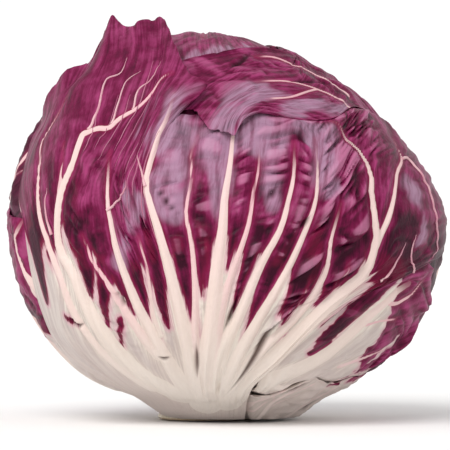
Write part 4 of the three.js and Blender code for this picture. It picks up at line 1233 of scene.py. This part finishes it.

# %% [markdown]
# ## Laying the leaves
#
# Each leaf becomes one plain mesh. Its pigment, and its bloom with painted sheen of the soft
# light, are worked out while the sheet is laid, since both follow the ribs, and they travel with
# the mesh as attributes.

# %% Laying the leaves
pieces = {}
for leaf in LEAVES:
    sheet = lay_sheet(leaf)
    if leaf["name"] == "leaf_front":
        sheet["pigment"] = pigment_of_front(sheet)
    elif leaf["name"] in STROKES:
        sheet["pigment"] = pigment_by_strokes(sheet, STROKES[leaf["name"]])
    else:
        sheet["pigment"] = pigment_by_rule(sheet, leaf["pale"], leaf["phase"])
    sheet["depth"] = depth_of(sheet, leaf)
    piece = leaf_mesh(leaf["name"] + "_skin", sheet)
    pieces[leaf["name"]] = piece
    triangles = sum(len(f.vertices) - 2 for f in piece.data.polygons)
    print(piece.name, triangles, "triangles")

# %% [markdown]
# ## Materials
#
# Colours are written as they look on a screen and turned linear by one function. A node that
# comes up often is a step: its kind says which sockets it is fed through and what comes out.

# %% Helpers for materials
MIX = ("ShaderNodeMix", dict(data_type="RGBA"), (0, 6, 7), 2)
TIMES = ("ShaderNodeMath", dict(operation="MULTIPLY"), (0, 1), 0)
PLUS = ("ShaderNodeMath", dict(operation="ADD"), (0, 1), 0)
RANGE = ("ShaderNodeMapRange", dict(interpolation_type="SMOOTHSTEP"), (0, 1, 2, 3, 4), 0)
NOISE = ("ShaderNodeTexNoise", {}, ("Vector", "Scale", "Detail", "Roughness"), 0)
STRETCH = ("ShaderNodeMapping", {}, ("Vector", "Scale"), 0)
BUMP = ("ShaderNodeBump", {}, ("Height", "Strength", "Distance"), 0)


def linear(code):
    """An sRGB hex colour as linear red, green, blue and alpha."""
    parts = [int(code[i:i + 2], 16) / 255 for i in (1, 3, 5)]
    return [c / 12.92 if c <= 0.04045 else ((c + 0.055) / 1.055) ** 2.4 for c in parts] + [1.0]


def node(tree, kind, inputs=(), **settings):
    """Adds a node, applies its settings, and links or sets its inputs."""
    made = tree.nodes.new(kind)
    for key, value in settings.items():
        setattr(made, key, value)
    for socket, value in dict(inputs).items():
        if isinstance(value, bpy.types.NodeSocket):
            tree.links.new(value, made.inputs[socket])
        else:
            made.inputs[socket].default_value = value
    return made


def step(tree, kind, *fed):
    """Adds a node of a kind, feeds its sockets in their order and gives back its output."""
    name, settings, sockets, output = kind
    return node(tree, name, zip(sockets, fed), **settings).outputs[output]


def start_material(name):
    """An empty material, its tree, and the place on the object in metres."""
    made = bpy.data.materials.new(name)
    made.use_nodes = True
    made.node_tree.nodes.clear()
    return made, made.node_tree, node(made.node_tree, "ShaderNodeTexCoord").outputs["Object"]


def end_material(tree, bump, shading):
    """Ends a tree in a Principled shader. bump is a height, its strength and its reach."""
    normal = step(tree, BUMP, *bump)
    shader = node(tree, "ShaderNodeBsdfPrincipled", {**shading, "Normal": normal})
    node(tree, "ShaderNodeOutputMaterial", {0: shader.outputs[0]})


print("steps:", ", ".join(kind[0] for kind in (MIX, TIMES, PLUS, RANGE, NOISE, STRETCH, BUMP)))

# %% [markdown]
# ## Waxy leaf skin
#
# A radicchio leaf is cream flesh under a thin skin that carries red and violet pigment. The
# pigment lies in streaks along the veins. It is darkest low down between the ribs and is veiled
# by a lilac bloom of wax near the top, which also carries painted sheen of the soft light. Blister
# crests get a painted highlight and their valleys painted shade, and the cream low down and
# between the ribs gets painted shade. One material, fed by the attributes, gives all of it.

# %% Waxy leaf skin
CARRIED = ("edge", "pigment", "pink", "crease", "faint", "depth", "fold")
SKIN = {key: linear(code) for key, code in dict(
    fringe="#86103e", blot="#7c0a36", wax_bloom_and_sheen="#a5829a", crest_highlight="#c58aa6", tip="#84103c",
    cream="#e0d6ca", cream_streak="#c2b3ab", cream_shade_between_ribs="#b1a3a4", cream_low_shade="#cec1bb",
    blush="#cf8ba0", rib="#e0d8ca", rib_pink="#dfa3b0", rib_streak="#d3c2b5", rib_low_shade="#e0d6d0",
    shade_on_cream="#4a332c", shade_on_wine="#26020f",
).items()}


def wine_blade(tree, at, streak, coords, deep, middle, light):
    """Wine red, deepest low down, with crimson blots, a wax bloom with painted sheen, painted
    highlights on the crests and painted shade in the valleys.
    """
    mottle = step(tree, NOISE, coords, 150.0, 4.0, 0.6)
    tone = step(tree, PLUS, step(tree, TIMES, streak, 0.6), step(tree, TIMES, mottle, 0.4))
    deeper = step(tree, RANGE, at["depth"], 0.0, 1.0)
    tone = step(tree, PLUS, tone, step(tree, TIMES, deeper, -0.2))
    # Painted shade in the blister valleys and painted light on their crests, from the fold value.
    tone = step(tree, PLUS, tone, step(tree, TIMES, at["fold"], 0.15))
    blade = node(tree, "ShaderNodeValToRGB", {0: tone})
    ramp = blade.color_ramp
    ramp.elements[0].position, ramp.elements[0].color = 0.30, linear(deep)
    ramp.elements[1].position, ramp.elements[1].color = 0.66, linear(light)
    ramp.elements.new(0.47).color = linear(middle)
    fringe = step(tree, RANGE, at["edge"], 1.1, 0.0, 0.0, 0.45)
    colour = step(tree, MIX, fringe, blade.outputs[0], SKIN["fringe"])
    blots = step(tree, RANGE, step(tree, NOISE, coords, 70.0, 2.0), 0.52, 0.62)
    blots = step(tree, TIMES, blots, step(tree, RANGE, at["depth"], 0.3, 0.9))
    colour = step(tree, MIX, step(tree, TIMES, blots, 0.45), colour, SKIN["blot"])
    # Lilac of the wax bloom and painted sheen, where depth falls below zero.
    bloom_and_sheen_share = step(tree, TIMES, step(tree, RANGE, at["depth"], 0.0, -1.0, 0.0, 0.85),
                 step(tree, RANGE, streak, 0.32, 0.62, 0.35, 1.0))
    colour = step(tree, MIX, bloom_and_sheen_share, colour, SKIN["wax_bloom_and_sheen"])
    # Painted highlight on the blister crests.
    crest_highlight = step(tree, RANGE, at["fold"], 0.45, 1.0, 0.0, 0.4)
    return step(tree, MIX, crest_highlight, colour, SKIN["crest_highlight"])


def cream_blade(tree, at, streak, low_shade):
    """Cream flesh without pigment, with painted shade between the ribs and low down."""
    streaky = step(tree, RANGE, streak, 0.38, 0.62)
    colour = step(tree, MIX, streaky, SKIN["cream"], SKIN["cream_streak"])
    # Painted shade on the blade between the raised ribs, away from their edges.
    far = step(tree, RANGE, at["edge"], 0.0, 2.5, 0.0, 0.45)
    colour = step(tree, MIX, far, colour, SKIN["cream_shade_between_ribs"])
    # Painted shade on the cream low down.
    return step(tree, MIX, step(tree, TIMES, low_shade, 0.75), colour, SKIN["cream_low_shade"])


def rib_flesh(tree, at, streak, low_shade):
    """Ribs run from cream at the stem to pink at their tips."""
    colour = step(tree, MIX, at["pink"], SKIN["rib"], SKIN["rib_pink"])
    streaky = step(tree, TIMES, step(tree, RANGE, streak, 0.4, 0.65), 0.35)
    colour = step(tree, MIX, streaky, colour, SKIN["rib_streak"])
    # Painted shade on the ribs low down.
    return step(tree, MIX, step(tree, TIMES, low_shade, 0.7), colour, SKIN["rib_low_shade"])


def skin_height(tree, coords):
    """The net of cells, the grain and the wrinkles of the skin, as one height for the bump."""
    net = node(tree, "ShaderNodeTexVoronoi", {"Vector": coords, "Scale": 800.0},
               feature="DISTANCE_TO_EDGE")
    wrinkle = node(tree, "ShaderNodeTexNoise",
                   {"Vector": coords, "Scale": 330.0, "Detail": 3.0, "Distortion": 0.8})
    height = step(tree, TIMES, step(tree, RANGE, net.outputs[0], 0.0, 0.25), 0.3)
    fine = step(tree, NOISE, coords, 1400.0, 2.0)
    height = step(tree, PLUS, height, step(tree, TIMES, fine, 0.6))
    return step(tree, PLUS, height, step(tree, TIMES, wrinkle.outputs[0], 3.0))


def leaf_skin(name, deep, middle, light):
    """Living leaf skin: waxy, so it shines softly, with pigment in streaks along the veins."""
    made, tree, coords = start_material(name)
    at = {key: node(tree, "ShaderNodeAttribute", attribute_name=key).outputs["Fac"]
          for key in CARRIED}
    grain = node(tree, "ShaderNodeAttribute", attribute_name="grain").outputs["Vector"]
    streak = step(tree, NOISE, step(tree, STRETCH, grain, (0.7, 0.05, 1)), 1.0, 4.0, 0.65)
    height = node(tree, "ShaderNodeSeparateXYZ", {0: coords}).outputs["Z"]
    # Painted shade low down, where the head faces the floor and gets less light.
    low_shade = step(tree, RANGE, height, 0.030, 0.004)
    ragged = step(tree, PLUS, at["pigment"], step(tree, RANGE, streak, 0.3, 0.7, -0.4, 0.4))
    blade = wine_blade(tree, at, streak, coords, deep, middle, light)
    tip = step(tree, TIMES, step(tree, RANGE, ragged, 1.3, 0.2, 0.0, 0.6),
               step(tree, RANGE, at["depth"], 0.0, 0.5))
    blade = step(tree, MIX, tip, blade, SKIN["tip"])
    cream = cream_blade(tree, at, streak, low_shade)
    blush = step(tree, RANGE, ragged, -1.6, 0.1, 0.0, 0.5)
    cream = step(tree, MIX, blush, cream, SKIN["blush"])
    colour = step(tree, MIX, step(tree, RANGE, ragged, -0.25, 0.35), cream, blade)
    on_rib = step(tree, TIMES, step(tree, RANGE, at["edge"], 0.14, -0.12),
                  step(tree, RANGE, at["faint"], 0.0, 1.0, 1.0, 0.0))
    colour = step(tree, MIX, on_rib, colour, rib_flesh(tree, at, streak, low_shade))
    shade = step(tree, RANGE, ragged, -0.5, 0.5)
    shade = step(tree, MIX, shade, SKIN["shade_on_cream"], SKIN["shade_on_wine"])
    colour = step(tree, MIX, step(tree, TIMES, at["crease"], 0.95), colour, shade)
    end_material(tree, (skin_height(tree, coords), 0.25, 0.00025), {
        "Base Color": colour, "Roughness": step(tree, RANGE, on_rib, 0.0, 1.0, 0.42, 0.55),
        "IOR": 1.40, "Specular IOR Level": 0.18,
    })
    return made


skins = {
    BURGUNDY: leaf_skin("burgundy_leaf_skin", "#33001a", "#640836", "#9a3869"),
    CREAM_LEAF: leaf_skin("cream_leaf_skin", "#4c0626", "#7a1a45", "#9a4066"),
    INNER: leaf_skin("inner_leaf_skin", "#2a0114", "#4c0e2c", "#6a2444"),
}
for leaf in LEAVES:
    piece = pieces[leaf["name"]]
    piece.data.materials.append(skins[leaf["slot"]])
    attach(piece, "root")
    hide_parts(leaf["name"])

# %% [markdown]
# ## Thin veins
#
# The last forks of the ribs are round threads less than a millimetre wide, half sunk in the
# skin. The grid of the sheet is too coarse to carry them, so they are made as cords: each
# follows a line that is set down on the finished skin, and a Geometry Nodes tree gives every
# line its round section. Fine branches between the ribs are drawn by rule with a fixed seed.

# %% Lines of the thin veins
CORD_STEPS = 34
CORD_SINKS = 0.45
PROBE = 8.0
VEIN_TIP = dict(thinner=0.6, start=0.75)
VEIN_TINT = dict(root=0.25, more=0.3, fine=0.85)
FINE_ENDS = dict(least=0.35, more=0.65, root=(0, 0.2), tip=(1, 0.7))
FINE_VEINS = dict(seed=41, first=3, last=8, per_gap=2, start=(0.6, 0.7), end=(0.76, 0.9),
                  half_width=(0.10, 0.17), wander=0.09)


def set_down(tree, flats, half_widths, place):
    """Points of a line on the outer face of a leaf, sunk so that part of the cord shows."""
    points = []
    tops, bottoms = place(flats, PROBE), place(flats, -PROBE)
    for top, bottom, half in zip(tops, bottoms, half_widths):
        inward = Vector(bottom - top).normalized()
        spot = tree.ray_cast(Vector(top * MM), inward)[0]
        if spot is not None:
            points.append(spot + inward * (half * MM * (2 * CORD_SINKS - 1)))
    return points


def fine_lines(guides, places_and_shares):
    lines = []
    for place, start, end in places_and_shares:
        i = int(place)
        shares = np.linspace(start, end, CORD_STEPS)
        drift = FINE_VEINS["wander"] * noise(np.stack([shares * 9, shares * 0 + place], -1), 51)
        part = np.clip(place - i + drift, 0.05, 0.95)[:, None]
        lines.append(guides[i].at(shares) * (1 - part) + guides[i + 1].at(shares) * part)
    return lines


def front_vein_lines():
    """Each vein as chart points, half widths along it, and how pink it is."""
    veins = []
    for one in FRONT_CORDS:
        line = Line(front_chart.flat(np.array(one["points"])))
        along = np.linspace(0, 1, CORD_STEPS)
        thinner = VEIN_TIP["thinner"] * rise(VEIN_TIP["start"], 1, along)
        half = taper(one["wide"], along) * (1 - thinner)
        veins.append((line.at(along), half, VEIN_TINT["root"] + VEIN_TINT["more"] * along))
    draw = np.random.default_rng(FINE_VEINS["seed"])
    guides = [Line(front_chart.flat(np.array(g))) for g in FRONT]
    wanted = []
    for gap in range(FINE_VEINS["first"], FINE_VEINS["last"]):
        for n in range(FINE_VEINS["per_gap"]):
            place = gap + (n + 0.5) / FINE_VEINS["per_gap"] + draw.uniform(-0.12, 0.12)
            start = draw.uniform(*FINE_VEINS["start"])
            wanted.append((place, start, draw.uniform(*FINE_VEINS["end"])))
    for flats in fine_lines(guides, wanted):
        along = np.linspace(0, 1, CORD_STEPS)
        pointed = FINE_ENDS["more"] * rise(*FINE_ENDS["root"], along)
        pointed = FINE_ENDS["least"] + pointed * rise(*FINE_ENDS["tip"], along)
        half = draw.uniform(*FINE_VEINS["half_width"]) * pointed
        veins.append((flats, half, np.full(CORD_STEPS, VEIN_TINT["fine"])))
    return veins


front_skin = pieces["leaf_front"].data
ground = BVHTree.FromPolygons([v.co for v in front_skin.vertices],
                              [list(f.vertices) for f in front_skin.polygons])
vein_points, vein_edges, vein_widths, vein_tints = [], [], [], []
for flats, half, tint in front_vein_lines():
    first = len(vein_points)
    vein_points += set_down(ground, flats, half, stand_off)
    vein_edges += [(k, k + 1) for k in range(first, len(vein_points) - 1)]
    vein_widths += list(half[:len(vein_points) - first] * MM)
    vein_tints += list(tint[:len(vein_points) - first])
print("thin veins have", len(vein_points), "points")

# %% [markdown]
# ## Round cords
#
# The ring of points round every line could be worked out by hand. A Geometry Nodes tree does it
# in five steps, and its inputs say how many sides a cord has, how full it is and what it is
# made of.

# %% Cords along the lines
def cord_tree():
    """Turns edges into cords with as many sides and as full a section as its inputs say."""
    tree = bpy.data.node_groups.new("cords_along_lines", "GeometryNodeTree")
    for label, kind in (("Lines", "NodeSocketGeometry"), ("Sides", "NodeSocketInt"),
                        ("Fullness", "NodeSocketFloat"), ("Flesh", "NodeSocketMaterial")):
        tree.interface.new_socket(label, in_out="INPUT", socket_type=kind)
    tree.interface.new_socket("Cords", in_out="OUTPUT", socket_type="NodeSocketGeometry")
    given = tree.nodes.new("NodeGroupInput").outputs
    curves = node(tree, "GeometryNodeMeshToCurve", {0: given["Lines"]}).outputs[0]
    width = node(tree, "GeometryNodeInputNamedAttribute", {"Name": "half_width"}, data_type="FLOAT")
    ring = node(tree, "GeometryNodeCurvePrimitiveCircle", {"Resolution": given["Sides"]})
    ring.inputs["Radius"].default_value = 1.0
    wide = step(tree, TIMES, width.outputs[0], given["Fullness"])
    cord = node(tree, "GeometryNodeCurveToMesh", {
        "Curve": curves, "Profile Curve": ring.outputs["Curve"], "Scale": wide,
        "Fill Caps": True,
    })
    smooth = node(tree, "GeometryNodeSetShadeSmooth", {0: cord.outputs[0]})
    real = node(tree, "GeometryNodeRealizeInstances", {0: smooth.outputs[0]})
    done = node(tree, "GeometryNodeSetMaterial", {0: real.outputs[0], "Material": given["Flesh"]})
    tree.links.new(done.outputs[0], tree.nodes.new("NodeGroupOutput").inputs[0])
    return tree


def socket_id(tree, label):
    return next(item.identifier for item in tree.interface.items_tree
                if item.name == label and item.in_out == "INPUT")


def vein_flesh():
    made, tree, coords = start_material("pink_vein")
    tint = node(tree, "ShaderNodeAttribute", attribute_name="tint").outputs["Fac"]
    grainy = step(tree, NOISE, coords, 300.0, 3.0)
    flesh = step(tree, MIX, tint, linear("#ecc6c6"), linear("#94406a"))
    darker = step(tree, RANGE, grainy, 0.4, 0.65, 0.0, 0.5)
    flesh = step(tree, MIX, darker, flesh, linear("#b8627f"))
    end_material(tree, (grainy, 0.2, 0.0002),
                 {"Base Color": flesh, "Roughness": 0.5, "IOR": 1.40})
    return made


lines = bpy.data.meshes.new("vein_lines")
lines.from_pydata(vein_points, vein_edges, [])
for key, values in (("half_width", vein_widths), ("tint", vein_tints)):
    lines.attributes.new(key, "FLOAT", "POINT").data.foreach_set("value", values)
veins = bpy.data.objects.new("leaf_front_veins", lines)
bpy.context.scene.collection.objects.link(veins)
grower = veins.modifiers.new("cords", "NODES")
grower.node_group = cord_tree()
for label, value in (("Sides", 8), ("Fullness", 1.0), ("Flesh", vein_flesh())):
    grower[socket_id(grower.node_group, label)] = value
grown = bpy.data.meshes.new_from_object(veins.evaluated_get(bpy.context.evaluated_depsgraph_get()))
veins.modifiers.clear()
veins.data = grown
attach(veins, "root")
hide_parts("leaf_front")
print("veins:", sum(len(f.vertices) - 2 for f in grown.polygons), "triangles,",
      [m.name for m in grown.materials])

# %% [markdown]
# ## Heart and cut stem
#
# The solids of the heart and the stem have the right shape, so they stay and only get a finish.
# The heart is packed leaf tips, streaked from pole to pole. The stem is pale flesh: on the
# knife cut its vascular bundles show as a scatter of small darker dots, and the rim of the cut
# has begun to brown in the air.

# %% Heart and stem finishes
def packed_tips():
    made, tree, coords = start_material("packed_leaf_tips")
    streak = step(tree, NOISE, step(tree, STRETCH, coords, (260.0, 260.0, 45.0)), 1.0, 4.0)
    paler = step(tree, RANGE, streak, 0.35, 0.65)
    colour = step(tree, MIX, paler, linear("#5a0d33"), linear("#a0627f"))
    end_material(tree, (streak, 0.4, 0.0004),
                 {"Base Color": colour, "Roughness": 0.5, "IOR": 1.40})
    return made


def cut_flesh():
    made, tree, coords = start_material("cut_stem_flesh")
    split = node(tree, "ShaderNodeSeparateXYZ", {0: coords})
    on_cut = step(tree, RANGE, split.outputs[2], 0.0006, 0.0002)
    grain = step(tree, NOISE, step(tree, STRETCH, coords, (900.0, 900.0, 90.0)), 1.0, 3.0)
    darker = step(tree, RANGE, grain, 0.35, 0.65)
    flesh = step(tree, MIX, darker, linear("#e4dac6"), linear("#cfc0a6"))
    bundles = node(tree, "ShaderNodeTexVoronoi", {"Vector": coords, "Scale": 450.0})
    dots = step(tree, TIMES, step(tree, RANGE, bundles.outputs[0], 0.3, 0.18), on_cut)
    flesh = step(tree, MIX, step(tree, TIMES, dots, 0.7), flesh, linear("#a88f66"))
    flat = node(tree, "ShaderNodeCombineXYZ", {0: split.outputs[0], 1: split.outputs[1]})
    out = node(tree, "ShaderNodeVectorMath", {0: flat.outputs[0]}, operation="LENGTH")
    brown = step(tree, TIMES, step(tree, RANGE, out.outputs["Value"], 0.007, 0.013), on_cut)
    flesh = step(tree, MIX, step(tree, TIMES, brown, 0.6), flesh, linear("#9a7650"))
    end_material(tree, (grain, 0.3, 0.0003),
                 {"Base Color": flesh, "Roughness": 0.4, "IOR": 1.38})
    return made


for name, finish in (("heart", packed_tips()), ("stem", cut_flesh())):
    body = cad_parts[name]
    body.data.materials.clear()
    body.data.materials.append(finish)
    print(name, "keeps its solid and is now", finish.name)

# %% [markdown]
# ## Floor, light and camera
#
# A pale floor and an even white room, with one broad soft light high in front. Its soft
# reflection in the wax adds to the lilac sheen on the upper front of the head, which is also
# painted into the skin as part of the bloom.

# %% Stage
FLOOR = dict(radius=6, sides=64, below=0.0004)
KEY = dict(azimuth=28, height=44, strength=1.9, spread=40)
AIM = (5.65 * MM, 0.0, 54.6 * MM)
DISTANCE = 1.5
ELEVATION = math.radians(1.0)
SPAN = 127.1 * MM
SENSOR = 36.0

floor_mesh = bpy.data.meshes.new("floor")
around = np.linspace(0, 2 * math.pi, FLOOR["sides"] + 1)[:-1]
rim = [FLOOR["radius"] * np.cos(around), FLOOR["radius"] * np.sin(around)]
corners = [(float(x), float(y), -FLOOR["below"]) for x, y in zip(*rim)]
floor_mesh.from_pydata(corners, [], [list(range(FLOOR["sides"]))])
floor = bpy.data.objects.new("floor", floor_mesh)
scene = bpy.context.scene
scene.collection.objects.link(floor)
floor_paint = bpy.data.materials.new("matt_white_paper")
floor_paint.use_nodes = True
paper = floor_paint.node_tree.nodes["Principled BSDF"]
paper.inputs["Base Color"].default_value = linear("#f6f5f4")
paper.inputs["Roughness"].default_value = 0.9
floor_mesh.materials.append(floor_paint)

room = bpy.data.worlds.new("white_room")
scene.world = room
room.use_nodes = True
walls = room.node_tree
seen = node(walls, "ShaderNodeTexCoord").outputs["Generated"]
upwards = node(walls, "ShaderNodeSeparateXYZ", {0: seen}).outputs["Z"]
glow = step(walls, RANGE, upwards, 0.1, 0.45, 1.05, 0.75)
walls.links.new(glow, walls.nodes["Background"].inputs["Strength"])
walls.nodes["Background"].inputs["Color"].default_value = (1, 1, 1, 1)
scene.view_settings.view_transform = "Standard"

lamp = bpy.data.lights.new("broad_key", "SUN")
lamp.energy = KEY["strength"]
lamp.angle = math.radians(KEY["spread"])
key_light = bpy.data.objects.new("broad_key", lamp)
key_light.rotation_euler = (
    math.pi / 2 - math.radians(KEY["height"]), 0, -math.radians(KEY["azimuth"]),
)
scene.collection.objects.link(key_light)

camera_data = bpy.data.cameras.new("camera")
camera = bpy.data.objects.new("camera", camera_data)
scene.collection.objects.link(camera)
scene.camera = camera
camera_data.sensor_width = SENSOR
camera_data.lens = SENSOR * DISTANCE / SPAN
camera_data.clip_end = 50
camera.location = (
    AIM[0], -DISTANCE * math.cos(ELEVATION), AIM[2] + DISTANCE * math.sin(ELEVATION),
)
camera.rotation_euler = (math.pi / 2 - ELEVATION, 0, 0)
print("the lens is", round(camera_data.lens), "mm")
